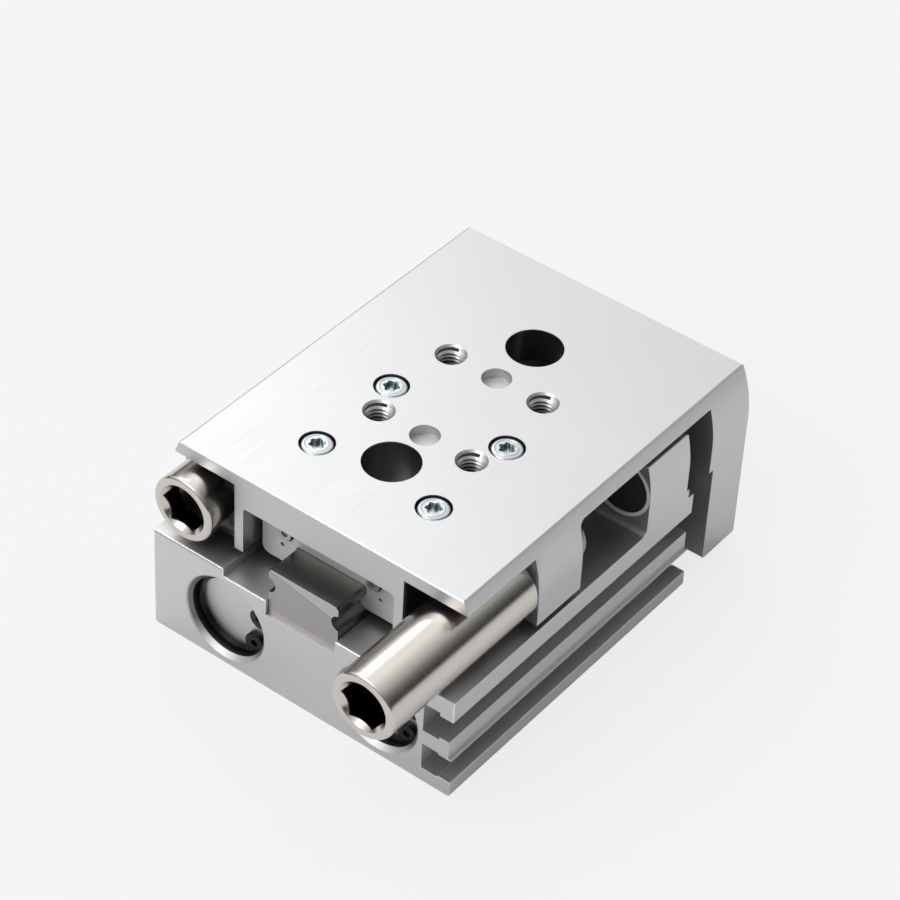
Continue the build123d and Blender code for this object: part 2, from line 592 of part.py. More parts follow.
def make_guide_block():
    profile = block_profile(0, BLOCK_RAIL_GAP, BLOCK_CORNER)
    track = Circle(BALL_RADIUS + RUNNING_CLEARANCE)
    for sign in SIDES.values():
        profile -= Pos(sign * BALL_OFFSET, BALL_HEIGHT) * track
        profile -= Pos(sign * RETURN_OFFSET, RAIL_SEAT + RETURN_HEIGHT) * track
    block = along(profile, BLOCK_BODY_FRONT, BLOCK_BODY_REAR)
    for i in (-0.5, 0.5):
        for j in (-0.5, 0.5):
            x = BLOCK_CENTRE + i * BLOCK_BOLT_X
            y = j * BLOCK_BOLT_Y
            block -= upright(x, y, BLOCK_TOP - BLOCK_BOLT_DEPTH, BLOCK_TOP, M3_RADIUS + THREAD_CLEARANCE)
            hole = END_SCREW_RADIUS + THREAD_CLEARANCE
            y = 2 * j * END_SCREW_OFFSET
            z = BLOCK_TOP - END_SCREW_DROP
            face = BLOCK_CENTRE + i * BLOCK_BODY_LENGTH
            block -= Pos(face, y, z) * Rot(0, 90, 0) * Cylinder(hole, 2 * END_SCREW_REACH)
    return block


def place_end(piece, end):
    """A piece drawn outwards from the block's front face, set on the front or turned to the rear."""
    if end == "front":
        return Pos(BLOCK_BODY_FRONT, 0, 0) * piece
    return Pos(BLOCK_BODY_REAR, 0, 0) * mirror(piece, Plane.YZ)


def end_screw_holes(start, end):
    radius = END_SCREW_RADIUS + SCREW_HOLE_GAP
    z = BLOCK_TOP - END_SCREW_DROP
    return [pin(start, end, radius, sign * END_SCREW_OFFSET, z) for sign in SIDES.values()]


def make_end_cap(end):
    cap = along(block_profile(END_CAP_STEP, END_CAP_RAIL_GAP, END_CAP_CORNER), -END_CAP_LENGTH, 0)
    for hole in end_screw_holes(-END_CAP_LENGTH, 0):
        cap -= hole
    return place_end(cap, end)


def make_end_seal(end):
    start = -END_CAP_LENGTH - END_SEAL_THICKNESS
    arch = block_profile(END_SEAL_STEP, END_SEAL_RAIL_GAP, END_CAP_CORNER)
    arch += band(BLOCK_BOTTOM + END_SEAL_STEP, RAIL_TOP + END_CAP_CORNER, -RETURN_OFFSET, RETURN_OFFSET)
    arch -= rail_profile(END_SEAL_RAIL_GAP)
    seal = along(arch, start, -END_CAP_LENGTH)
    for hole in end_screw_holes(start, -END_CAP_LENGTH):
        seal -= hole
    for sign in SIDES.values():
        y = sign * (END_SCREW_OFFSET + GREASE_HOLE_OUT)
        z = BLOCK_TOP - END_SCREW_DROP - GREASE_HOLE_DROP
        seal -= pin(start, -END_CAP_LENGTH, GREASE_HOLE_RADIUS, y, z)
    return place_end(seal, end)


def make_end_screws():
    reach = END_CAP_LENGTH + END_SEAL_THICKNESS + END_SCREW_REACH - THREAD_CLEARANCE
    head = (END_SCREW_HEAD_RADIUS, END_SCREW_HEAD_HEIGHT, END_SCREW_KEY, END_SCREW_KEY_DEPTH)
    screw = cap_screw(END_SCREW_RADIUS, reach, *head)
    z = BLOCK_TOP - END_SCREW_DROP
    screws = []
    for sign in SIDES.values():
        y = sign * END_SCREW_OFFSET
        screws.append(Pos(BLOCK_FRONT, y, z) * Rot(0, -90, 0) * screw)
        screws.append(Pos(BLOCK_REAR, y, z) * Rot(0, 90, 0) * screw)
    return Compound(screws)


def make_block_screws():
    reach = SCREW_SEAT - BLOCK_TOP + BLOCK_BOLT_REACH
    screw = cap_screw(M3_RADIUS, reach, M3_HEAD_RADIUS, BLOCK_SCREW_HEAD, M3_KEY, KEY_DEPTH)
    places = [(i * BLOCK_BOLT_X, j * BLOCK_BOLT_Y) for i in (-0.5, 0.5) for j in (-0.5, 0.5)]
    return Compound([Pos(BLOCK_CENTRE + x, y, SCREW_SEAT) * screw for x, y in places])


def make_ball_row(sign):
    count = int((BLOCK_BODY_LENGTH - 2 * BALL_RADIUS) / BALL_PITCH) + 1
    first = BLOCK_CENTRE - (count - 1) * BALL_PITCH / 2
    row = [Pos(first + i * BALL_PITCH, 0, 0) * Sphere(BALL_RADIUS) for i in range(count)]
    return Pos(0, sign * BALL_OFFSET, BALL_HEIGHT) * Compound(row)


def make_stop_sleeve(seat, length, socket_depth, y):
    """A sleeve that locks a stop screw: a hexagonal socket in front, a thread behind it."""
    front = seat - length
    sleeve = pin(front, seat, SLEEVE_RADIUS)
    sleeve = fillet(sleeve.edges().group_by(Axis.X)[0], SLEEVE_EDGE)
    sleeve = chamfer(sleeve.edges().group_by(Axis.X)[-1], SLEEVE_EDGE)
    sleeve -= along(hexagon(SOCKET_KEY, SOCKET_TURN), front, front + socket_depth)
    sleeve -= pin(front + socket_depth, seat, STOP_SCREW_RADIUS + THREAD_CLEARANCE)
    mouth = Cone(SOCKET_KEY / 2 + SOCKET_MOUTH, SOCKET_KEY / 2, SOCKET_MOUTH)
    sleeve -= Pos(front + SOCKET_MOUTH / 2, 0, 0) * Rot(0, 90, 0) * mouth
    return Pos(0, y, STOP_HEIGHT) * sleeve


def make_stop_screw(nose, length, y):
    """A threaded stop screw with a rounded nose towards the yoke and a key socket in front."""
    screw = pin(nose - length, nose - NOSE_LENGTH, STOP_SCREW_RADIUS, y, STOP_HEIGHT)
    screw = chamfer(screw.edges().group_by(Axis.X)[0], SLEEVE_EDGE)
    tip = pin(nose - NOSE_LENGTH, nose, NOSE_RADIUS, y, STOP_HEIGHT)
    screw += fillet(tip.edges().group_by(Axis.X)[-1], NOSE_ROUND)
    socket = Pos(y, STOP_HEIGHT) * hexagon(ADJUSTER_KEY, SOCKET_TURN)
    return screw - along(socket, nose - length, nose - length + ADJUSTER_KEY_DEPTH)


def make_extension_seat():
    start = EXTENSION_BRACKET_FRONT
    inner = SEAT_OUTER_RADIUS - SEAT_WALL
    return ring(start, start + SEAT_DEPTH, SEAT_OUTER_RADIUS, inner, -STOP_OFFSET, STOP_HEIGHT)


def make_extension_bumper():
    start = EXTENSION_BRACKET_FRONT + BUMPER_RECESS
    radius = SEAT_OUTER_RADIUS - SEAT_WALL - PRESS_CLEARANCE
    return pin(start, EXTENSION_BRACKET_FRONT + SEAT_DEPTH, radius, -STOP_OFFSET, STOP_HEIGHT)


def make_all():
    nodes = {
        "housing": make_housing(),
        "guide_rail": make_guide_rail(),
        "rail_screws": make_rail_screws(),
        "head_cap_seals": both_sides(make_head_cap_seal),
        "rod_bushes": both_sides(make_rod_bush),
        "rod_seals": both_sides(make_rod_seal),
        "rod_seal_retainers": both_sides(make_rod_retainer),
        "extension_stop_seat": make_extension_seat(),
        "extension_bumper": make_extension_bumper(),
        "table": make_table(),
        "guide_block": make_guide_block(),
        "end_cap_screws": make_end_screws(),
        "block_screws": make_block_screws(),
        "piston_seals": both_sides(make_piston_seal),
        "piston_magnets": both_sides(make_piston_magnet),
        "rod_screws": both_sides(make_rod_screw),
        "retraction_stop_sleeve": make_stop_sleeve(
            RETRACTION_BRACKET_FRONT, RETRACTION_SLEEVE_LENGTH, RETRACTION_SOCKET_DEPTH, STOP_OFFSET
        ),
        "extension_stop_sleeve": make_stop_sleeve(
            EXTENSION_LUG_FRONT, EXTENSION_SLEEVE_LENGTH, EXTENSION_SOCKET_DEPTH, -STOP_OFFSET
        ),
        "retraction_stop_screw": make_stop_screw(RETRACTION_NOSE, RETRACTION_SCREW_LENGTH, STOP_OFFSET),
        "extension_stop_screw": make_stop_screw(EXTENSION_NOSE, EXTENSION_SCREW_LENGTH, -STOP_OFFSET),
    }
    for side, sign in SIDES.items():
        nodes[f"head_cap_{side}"] = make_head_cap(sign)
        nodes[f"retaining_ring_{side}"] = make_retaining_ring(sign)
        nodes[f"ball_row_{side}"] = make_ball_row(sign)
        nodes[f"piston_{side}"] = make_piston(sign)
        nodes[f"piston_rod_{side}"] = make_piston_rod(sign)
    for end in ("front", "rear"):
        nodes[f"end_cap_{end}"] = make_end_cap(end)
        nodes[f"end_seal_{end}"] = make_end_seal(end)
    return nodes


os.makedirs("parts", exist_ok=True)
for name, piece in make_all().items():
    export_step(piece, f"parts/{name}.step")
    print(name, len(piece.solids()), round(piece.volume, 1))
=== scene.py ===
# %% [markdown]
# This script dresses a small pneumatic slide table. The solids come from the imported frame, in metres,
# with X along the stroke, Y to the left and Z up. Here each surface gets its finish, and the few
# pieces that are finer than the solids, such as screw heads and threads, are modelled on top of them.
# Sizes are written in millimetres and turned into metres by MM.

# %% Load the frame
import json
import math

import bpy
from mathutils import Matrix, Vector


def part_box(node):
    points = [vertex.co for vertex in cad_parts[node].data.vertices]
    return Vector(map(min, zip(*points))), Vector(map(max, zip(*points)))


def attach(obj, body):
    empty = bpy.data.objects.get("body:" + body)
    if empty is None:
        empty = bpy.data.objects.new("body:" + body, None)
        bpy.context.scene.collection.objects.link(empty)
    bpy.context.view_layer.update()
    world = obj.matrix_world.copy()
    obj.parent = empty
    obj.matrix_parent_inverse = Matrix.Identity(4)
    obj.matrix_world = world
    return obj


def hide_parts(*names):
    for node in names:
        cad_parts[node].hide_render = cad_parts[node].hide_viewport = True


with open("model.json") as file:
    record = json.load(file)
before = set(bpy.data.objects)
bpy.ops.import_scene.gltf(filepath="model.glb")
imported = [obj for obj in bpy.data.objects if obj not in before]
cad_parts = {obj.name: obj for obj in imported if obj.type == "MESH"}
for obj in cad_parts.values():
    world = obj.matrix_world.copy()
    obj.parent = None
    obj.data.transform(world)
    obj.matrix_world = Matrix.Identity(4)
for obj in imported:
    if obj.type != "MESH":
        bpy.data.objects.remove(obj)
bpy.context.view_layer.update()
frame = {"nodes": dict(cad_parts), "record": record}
nodes = frame["nodes"]
MM = 0.001

# %% [markdown]
# The camera stands where the photograph was taken from, high on the front right corner, with a long
# lens. Its place and turn were found by fitting a pinhole camera to the corners and holes of the
# table, so they are written as a place, a direction and a roll.

# %% Camera
CAMERA_PLACE = Vector((-0.31337, -0.25264, 0.40243))
CAMERA_DIRECTION = Vector((0.61412569, 0.4445449, -0.65209621)).normalized()
CAMERA_ROLL = math.radians(3.211)
LENS_MM, SENSOR_MM = 132.14, 36.0

camera_data = bpy.data.cameras.new("camera")
camera_data.lens = LENS_MM
camera_data.sensor_width = SENSOR_MM
camera_data.sensor_fit = "HORIZONTAL"
camera = bpy.data.objects.new("camera", camera_data)
bpy.context.scene.collection.objects.link(camera)
level_right = CAMERA_DIRECTION.cross(Vector((0, 0, 1))).normalized()
level_up = level_right.cross(CAMERA_DIRECTION)
right = math.cos(CAMERA_ROLL) * level_right + math.sin(CAMERA_ROLL) * level_up
up = math.cos(CAMERA_ROLL) * level_up - math.sin(CAMERA_ROLL) * level_right
camera_axes = Matrix((right, up, -CAMERA_DIRECTION)).transposed().to_4x4()
camera.matrix_world = Matrix.Translation(CAMERA_PLACE) @ camera_axes
bpy.context.scene.camera = camera
print("camera:", tuple(round(v, 3) for v in camera.location), "lens", LENS_MM)

# %% [markdown]
# The photograph is a catalogue picture with a nearly white background. The plain "Standard" view
# keeps such whites white, where a filmic view would turn them grey, so the tones can be matched
# one to one against the photograph.

# %% Tone of the picture
bpy.context.scene.view_settings.view_transform = "Standard"
print("view transform:", bpy.context.scene.view_settings.view_transform)

# %% [markdown]
# The floor is one large pale sheet. Metal close to it mirrors it, so to the metal it is a plain rough
# sheet with real shadows on it. The photograph itself shows almost no shadow, as if the sheet were lit
# from below, so what the camera sees of it is mostly an even glow and only partly the shaded sheet.

# %% Floor
FLOOR_SIZE = 8.0
PAPER_TONES = ((0.80, 0.80, 0.81), (0.82, 0.82, 0.83))
PAPER_CLOUDS, PAPER_ROUGH, PAPER_SHEEN = 6.0, 0.9, 0.1
PAPER_WHITE = (0.905, 0.903, 0.925)
GLOW_SHARE = 0.86


def paper_material():
    material = bpy.data.materials.new("studio_paper")
    material.use_nodes = True
    tree = material.node_tree
    shader = tree.nodes["Principled BSDF"]
    shader.inputs["Roughness"].default_value = PAPER_ROUGH
    shader.inputs["Specular IOR Level"].default_value = PAPER_SHEEN
    noise = tree.nodes.new("ShaderNodeTexNoise")
    noise.inputs["Scale"].default_value = PAPER_CLOUDS
    ramp = tree.nodes.new("ShaderNodeValToRGB")
    for element, tone in zip(ramp.color_ramp.elements, PAPER_TONES):
        element.color = (*tone, 1)
    coordinates = tree.nodes.new("ShaderNodeTexCoord")
    tree.links.new(coordinates.outputs["Object"], noise.inputs["Vector"])
    tree.links.new(noise.outputs["Fac"], ramp.inputs["Fac"])
    tree.links.new(ramp.outputs["Color"], shader.inputs["Base Color"])
    glow = tree.nodes.new("ShaderNodeEmission")
    glow.inputs["Color"].default_value = (*PAPER_WHITE, 1)
    seen = tree.nodes.new("ShaderNodeLightPath")
    share = tree.nodes.new("ShaderNodeMath")
    share.operation = "MULTIPLY"
    share.inputs[1].default_value = GLOW_SHARE
    mix = tree.nodes.new("ShaderNodeMixShader")
    tree.links.new(seen.outputs["Is Camera Ray"], share.inputs[0])
    tree.links.new(share.outputs[0], mix.inputs[0])
    tree.links.new(shader.outputs["BSDF"], mix.inputs[1])
    tree.links.new(glow.outputs["Emission"], mix.inputs[2])
    tree.links.new(mix.outputs["Shader"], tree.nodes["Material Output"].inputs["Surface"])
    return material


bpy.ops.object.select_all(action="DESELECT")
bpy.ops.mesh.primitive_plane_add(size=FLOOR_SIZE, location=(0, 0, 0))
floor = bpy.context.object
floor.name = "floor"
floor.data.materials.append(paper_material())
print("floor:", floor.dimensions[:2])

# %% [markdown]
# Metal shows its surroundings more than its own colour. So the light is two broad soft panels above
# the object, of which the table's top mirrors the one behind it, and a world that is bright overhead
# and dim near the horizon. That dim band is what draws the dark stripe along the nickel-plated sleeves.

# %% Soft panels
LIT_CENTRE = Vector((0.03, 0.0, 0.02))
LIGHT_DISTANCE = 1.0


def softbox(name, direction, width, height, radiance):
    """A soft panel that faces the object. Its power follows from how bright its face should look."""
    data = bpy.data.lights.new(name, "AREA")
    data.shape = "RECTANGLE"
    data.size = width
    data.size_y = height
    data.energy = radiance * math.pi * width * height
    lamp = bpy.data.objects.new(name, data)
    bpy.context.scene.collection.objects.link(lamp)
    away = Vector(direction).normalized()
    lamp.location = LIT_CENTRE + LIGHT_DISTANCE * away
    lamp.rotation_euler = (-away).to_track_quat("-Z", "Y").to_euler()


softbox("light_back", (0.42, 0.60, 0.68), width=0.45, height=0.40, radiance=1.7)
softbox("light_front", (-0.60, 0.25, 0.76), width=0.6, height=0.5, radiance=3.2)

# %% Studio sky
SKY_BY_HEIGHT = [(0.12, (0.05, 0.05, 0.053, 1)), (0.62, (1.35, 1.36, 1.37, 1))]
SKY_BY_SIDE = [(0.30, (0.25, 0.25, 0.25, 1)), (1.0, (1, 1, 1, 1))]


def ramp_node(tree, value, stops):
    ramp = tree.nodes.new("ShaderNodeValToRGB")
    for element, (position, colour) in zip(ramp.color_ramp.elements, stops):
        element.position = position
        element.color = colour
    tree.links.new(value, ramp.inputs["Fac"])
    return ramp.outputs["Color"]


def studio_world():
    """A sky that brightens with height, and is dimmer on the right side than on the left."""
    world = bpy.data.worlds.new("studio")
    world.use_nodes = True
    tree = world.node_tree
    direction = tree.nodes.new("ShaderNodeTexCoord")
    split = tree.nodes.new("ShaderNodeSeparateXYZ")
    tree.links.new(direction.outputs["Generated"], split.inputs[0])
    shift = tree.nodes.new("ShaderNodeMath")
    shift.operation = "ADD"
    shift.inputs[1].default_value = 1.0
    tree.links.new(split.outputs["Y"], shift.inputs[0])
    sky = tree.nodes.new("ShaderNodeMix")
    sky.data_type = "RGBA"
    sky.blend_type = "MULTIPLY"
    sky.inputs["Factor"].default_value = 1.0
    tree.links.new(ramp_node(tree, split.outputs["Z"], SKY_BY_HEIGHT), sky.inputs["A"])
    tree.links.new(ramp_node(tree, shift.outputs[0], SKY_BY_SIDE), sky.inputs["B"])
    seen = tree.nodes.new("ShaderNodeLightPath")
    mix = tree.nodes.new("ShaderNodeMix")
    mix.data_type = "RGBA"
    mix.inputs["B"].default_value = (*PAPER_WHITE, 1)
    tree.links.new(seen.outputs["Is Camera Ray"], mix.inputs["Factor"])
    tree.links.new(sky.outputs["Result"], mix.inputs["A"])
    tree.links.new(mix.outputs["Result"], tree.nodes["Background"].inputs["Color"])
    bpy.context.scene.world = world


studio_world()
print("world:", bpy.context.scene.world.name)

# %% [markdown]
# The metals share three effects, so each is a node group. The grain group gives the fine even texture
# of blasted and anodised metal. The brushing group gives streaks along one direction. The reach group
# measures the distance from an axis, for all that is round a bore or a screw.

# %% Grain
GRAIN_DETAIL = 2.0


def new_group(name, inputs, outputs):
    group = bpy.data.node_groups.new(name, "ShaderNodeTree")
    for title, value in inputs:
        socket = group.interface.new_socket(title, in_out="INPUT", socket_type="NodeSocketFloat")
        socket.default_value = value
    for title in outputs:
        group.interface.new_socket(title, in_out="OUTPUT", socket_type="NodeSocketFloat")
    return group, group.nodes.new("NodeGroupInput"), group.nodes.new("NodeGroupOutput")


def grain_group():
    """Fine isotropic grain for the bump, and slow clouds for the colour."""
    scales_in = [("Grain Scale", 4000.0), ("Cloud Scale", 40.0)]
    group, entry, leave = new_group("fine_grain", scales_in, ["Grain", "Cloud"])
    coordinates = group.nodes.new("ShaderNodeTexCoord")
    for title, output in (("Grain Scale", "Grain"), ("Cloud Scale", "Cloud")):
        noise = group.nodes.new("ShaderNodeTexNoise")
        noise.inputs["Detail"].default_value = GRAIN_DETAIL
        group.links.new(coordinates.outputs["Object"], noise.inputs["Vector"])
        group.links.new(entry.outputs[title], noise.inputs["Scale"])
        group.links.new(noise.outputs["Fac"], leave.inputs[output])
    return group


FINE_GRAIN = grain_group()
print("grain:", FINE_GRAIN.name)

# %% Brushing
STREAK_DETAIL = 3.0


def brushing_group():
    """Streaks: noise that is stretched along one axis by three separate scales."""
    scales_in = [("Scale X", 60.0), ("Scale Y", 5000.0), ("Scale Z", 5000.0)]
    group, entry, leave = new_group("brushing", scales_in, ["Streak"])
    coordinates = group.nodes.new("ShaderNodeTexCoord")
    scales = group.nodes.new("ShaderNodeCombineXYZ")
    stretch = group.nodes.new("ShaderNodeVectorMath")
    stretch.operation = "MULTIPLY"
    noise = group.nodes.new("ShaderNodeTexNoise")
    noise.inputs["Scale"].default_value = 1.0
    noise.inputs["Detail"].default_value = STREAK_DETAIL
    for axis in "XYZ":
        group.links.new(entry.outputs["Scale " + axis], scales.inputs[axis])
    group.links.new(coordinates.outputs["Object"], stretch.inputs[0])
    group.links.new(scales.outputs["Vector"], stretch.inputs[1])
    group.links.new(stretch.outputs["Vector"], noise.inputs["Vector"])
    group.links.new(noise.outputs["Fac"], leave.inputs["Streak"])
    return group


BRUSHING = brushing_group()
print("brushing:", BRUSHING.name)


# %% Distance from an axis
def reach_group():
    """The distance in metres from an axis that lies along X, and the place along that axis."""
    group, entry, leave = new_group("axis_reach", [("Axis Y", 0.0), ("Axis Z", 0.0)], ["Radius", "Along"])
    coordinates = group.nodes.new("ShaderNodeTexCoord")
    split = group.nodes.new("ShaderNodeSeparateXYZ")
    group.links.new(coordinates.outputs["Object"], split.inputs[0])
    squares = []
    for axis in "YZ":
        gap = group.nodes.new("ShaderNodeMath")
        gap.operation = "SUBTRACT"
        group.links.new(split.outputs[axis], gap.inputs[0])
        group.links.new(entry.outputs["Axis " + axis], gap.inputs[1])
        square = group.nodes.new("ShaderNodeMath")
        square.operation = "MULTIPLY"
        group.links.new(gap.outputs[0], square.inputs[0])
        group.links.new(gap.outputs[0], square.inputs[1])
        squares.append(square)
    total = group.nodes.new("ShaderNodeMath")
    total.operation = "ADD"
    root = group.nodes.new("ShaderNodeMath")
    root.operation = "SQRT"
    group.links.new(squares[0].outputs[0], total.inputs[0])
    group.links.new(squares[1].outputs[0], total.inputs[1])
    group.links.new(total.outputs[0], root.inputs[0])
    group.links.new(root.outputs[0], leave.inputs["Radius"])
    group.links.new(split.outputs["X"], leave.inputs["Along"])
    return group


AXIS_REACH = reach_group()
print("node groups:", [g.name for g in bpy.data.node_groups])

# %% [markdown]
# Some surfaces change tone at a place that is known in millimetres, such as the dark inside of a
# socket. Small helpers build such masks out of map range and math nodes, so a finish can read "where
# the radius is under 4.7 and the depth over 0.9".

# %% Mask helpers
def place_group(tree, group, **values):
    node = tree.nodes.new("ShaderNodeGroup")
    node.node_tree = group
    for title, value in values.items():
        node.inputs[title.replace("_", " ")].default_value = value
    return node


def axis_reach(tree, y, z):
    """The distance from an axis along X, and the place along it. The axis is given in millimetres."""
    node = place_group(tree, AXIS_REACH, Axis_Y=y * MM, Axis_Z=z * MM)
    return node.outputs["Radius"], node.outputs["Along"]


def math_node(tree, operation, first, second=None):
    node = tree.nodes.new("ShaderNodeMath")
    node.operation = operation
    for slot, value in enumerate((first, second)):
        if isinstance(value, (int, float)):
            node.inputs[slot].default_value = value
        elif value is not None:
            tree.links.new(value, node.inputs[slot])
    return node.outputs[0]


def step_up(tree, value, start, end):
    """0 before the start, 1 after the end, and a straight ramp between them. Both are in millimetres."""
    node = tree.nodes.new("ShaderNodeMapRange")
    node.inputs["From Min"].default_value = start * MM
    node.inputs["From Max"].default_value = end * MM
    tree.links.new(value, node.inputs["Value"])
    return node.outputs["Result"]


def step_down(tree, value, start, end):
    """1 before the start, 0 after the end, and a straight ramp between them."""
    return math_node(tree, "SUBTRACT", 1.0, step_up(tree, value, start, end))


def both(tree, first, second):
    return math_node(tree, "MULTIPLY", first, second)


def axes_of(tree, vector):
    split = tree.nodes.new("ShaderNodeSeparateXYZ")
    tree.links.new(vector, split.inputs[0])
    return split.outputs["X"], split.outputs["Y"], split.outputs["Z"]


def object_axes(tree):
    return axes_of(tree, tree.nodes.new("ShaderNodeTexCoord").outputs["Object"])


print("masks are written in millimetres of", MM, "m")

# %% [markdown]
# A finish is one Principled shader. Its colour drifts a little between two close tones, its roughness
# follows the streaks, and a very low bump breaks the highlights. The Bevel node rounds the normals
# near each edge, which gives the thin bright line that every machined edge has.

# %% Finish builder
STREAK_LOW, STREAK_HIGH = 0.25, 0.75
RELIEF_DEPTH = 0.02
EDGE_SAMPLES = 4


def finish(name, dark, light, rough, metallic=1.0, streaks=(60, 5000, 5000), bump=0.05, edge=0.12):
    material = bpy.data.materials.new(name)
    material.use_nodes = True
    tree = material.node_tree
    shader = tree.nodes["Principled BSDF"]
    shader.inputs["Metallic"].default_value = metallic
    grains = place_group(tree, FINE_GRAIN)
    brush = place_group(tree, BRUSHING, Scale_X=streaks[0], Scale_Y=streaks[1], Scale_Z=streaks[2])
    mix = tree.nodes.new("ShaderNodeMix")
    mix.data_type = "RGBA"
    mix.inputs["A"].default_value = (*dark, 1)
    mix.inputs["B"].default_value = (*light, 1)
    half_cloud = both(tree, grains.outputs["Cloud"], 0.5)
    half_streak = both(tree, brush.outputs["Streak"], 0.5)
    tree.links.new(math_node(tree, "ADD", half_cloud, half_streak), mix.inputs["Factor"])
    tree.links.new(mix.outputs["Result"], shader.inputs["Base Color"])
    spread = tree.nodes.new("ShaderNodeMapRange")
    spread.inputs["From Min"].default_value = STREAK_LOW
    spread.inputs["From Max"].default_value = STREAK_HIGH
    spread.inputs["To Min"].default_value = rough[0]
    spread.inputs["To Max"].default_value = rough[1]
    tree.links.new(brush.outputs["Streak"], spread.inputs["Value"])
    tree.links.new(spread.outputs["Result"], shader.inputs["Roughness"])
    relief = tree.nodes.new("ShaderNodeBump")
    relief.inputs["Strength"].default_value = bump
    relief.inputs["Distance"].default_value = RELIEF_DEPTH * MM
    height = math_node(tree, "ADD", grains.outputs["Grain"], brush.outputs["Streak"])
    tree.links.new(height, relief.inputs["Height"])
    if edge:
        rounding = tree.nodes.new("ShaderNodeBevel")
        rounding.name = "rounding"
        rounding.samples = EDGE_SAMPLES
        rounding.inputs["Radius"].default_value = edge * MM
        tree.links.new(rounding.outputs["Normal"], relief.inputs["Normal"])
    tree.links.new(relief.outputs["Normal"], shader.inputs["Normal"])
    return material


print("edges are rounded with", EDGE_SAMPLES, "samples")

# %% [markdown]
# A finish can be changed in places. A tint lays another colour over it and a second roughness makes it
# duller or shinier, both by a mask. Glints are painted highlights: a pale colour laid along the sharp
# edges, which are found by themselves, since there the rounded normal and the true one disagree,
# however the piece is turned.

# %% Overlays
GLINT_SAMPLES = 12
GLINT_START, GLINT_FULL = 0.99, 0.85


def lay_over(material, socket, kind, mask, value):
    """Put a fixed value over what feeds one of the shader's sockets, wherever the mask is 1."""
    tree = material.node_tree
    target = tree.nodes["Principled BSDF"].inputs[socket]
    below = target.links[0].from_socket
    mix = tree.nodes.new("ShaderNodeMix")
    mix.data_type = kind
    mix.inputs["B"].default_value = value
    tree.links.new(below, mix.inputs["A"])
    tree.links.new(mask, mix.inputs["Factor"])
    tree.links.new(mix.outputs["Result"], target)


def tint(material, mask, colour):
    """Lay a second colour over a finish wherever the mask is 1."""
    lay_over(material, "Base Color", "RGBA", mask, (*colour, 1))


def roughen(material, mask, rough):
    """Make a finish duller or shinier wherever the mask is 1."""
    lay_over(material, "Roughness", "FLOAT", mask, rough)


def paint_glint(material, width, colour, mask=None):
    """Paint a highlight in the given colour along a finish's sharp edges, wherever the mask allows."""
    tree = material.node_tree
    rounding = tree.nodes.new("ShaderNodeBevel")
    rounding.samples = GLINT_SAMPLES
    rounding.inputs["Radius"].default_value = width * MM
    geometry = tree.nodes.new("ShaderNodeNewGeometry")
    agree = tree.nodes.new("ShaderNodeVectorMath")
    agree.operation = "DOT_PRODUCT"
    tree.links.new(rounding.outputs["Normal"], agree.inputs[0])
    tree.links.new(geometry.outputs["Normal"], agree.inputs[1])
    turn = tree.nodes.new("ShaderNodeMapRange")
    turn.inputs["From Min"].default_value = GLINT_START
    turn.inputs["From Max"].default_value = GLINT_FULL
    tree.links.new(agree.outputs["Value"], turn.inputs["Value"])
    edge = turn.outputs["Result"] if mask is None else both(tree, turn.outputs["Result"], mask)
    tint(material, edge, colour)
    return edge


print("glints start at", GLINT_START, "and are full at", GLINT_FULL)

# %% [markdown]
# The numbers below were tuned against the photograph, tone by tone. Each finish has a dark and a light
# tone and the range of its roughness. Anodised aluminium is nearly white but soft, nickel is warm and
# shiny, ground rail steel is dark, zinc is cool and bright.

# %% Plain finishes
ALUMINIUM = dict(dark=(0.50, 0.50, 0.505), light=(0.57, 0.57, 0.575), rough=(0.34, 0.44))
CAP_ALUMINIUM = dict(dark=(0.56, 0.56, 0.56), light=(0.62, 0.62, 0.62), rough=(0.36, 0.44))
RAIL_STEEL = dict(dark=(0.20, 0.195, 0.185), light=(0.26, 0.255, 0.245), rough=(0.28, 0.38))
RUBBER = dict(dark=(0.012, 0.012, 0.012), light=(0.02, 0.02, 0.02), rough=(0.6, 0.75))
MAGNET = dict(dark=(0.03, 0.028, 0.026), light=(0.05, 0.047, 0.045), rough=(0.5, 0.6))
ZINC = dict(dark=(0.66, 0.70, 0.71), light=(0.74, 0.78, 0.79), rough=(0.16, 0.24))
SEAL = dict(dark=(0.43, 0.43, 0.415), light=(0.50, 0.50, 0.485), rough=(0.38, 0.46))
NICKEL = dict(dark=(0.55, 0.52, 0.47), light=(0.63, 0.60, 0.55), rough=(0.20, 0.28))
OXIDE = dict(dark=(0.02, 0.02, 0.02), light=(0.035, 0.035, 0.037), rough=(0.32, 0.42))
CHROME = dict(dark=(0.66, 0.67, 0.68), light=(0.72, 0.73, 0.74), rough=(0.07, 0.12))
BRONZE = dict(dark=(0.42, 0.28, 0.15), light=(0.5, 0.34, 0.19), rough=(0.4, 0.5))
PLASTIC = dict(dark=(0.03, 0.03, 0.03), light=(0.05, 0.05, 0.05), rough=(0.45, 0.55))
PLATED_STREAKS = (4000, 200, 200)
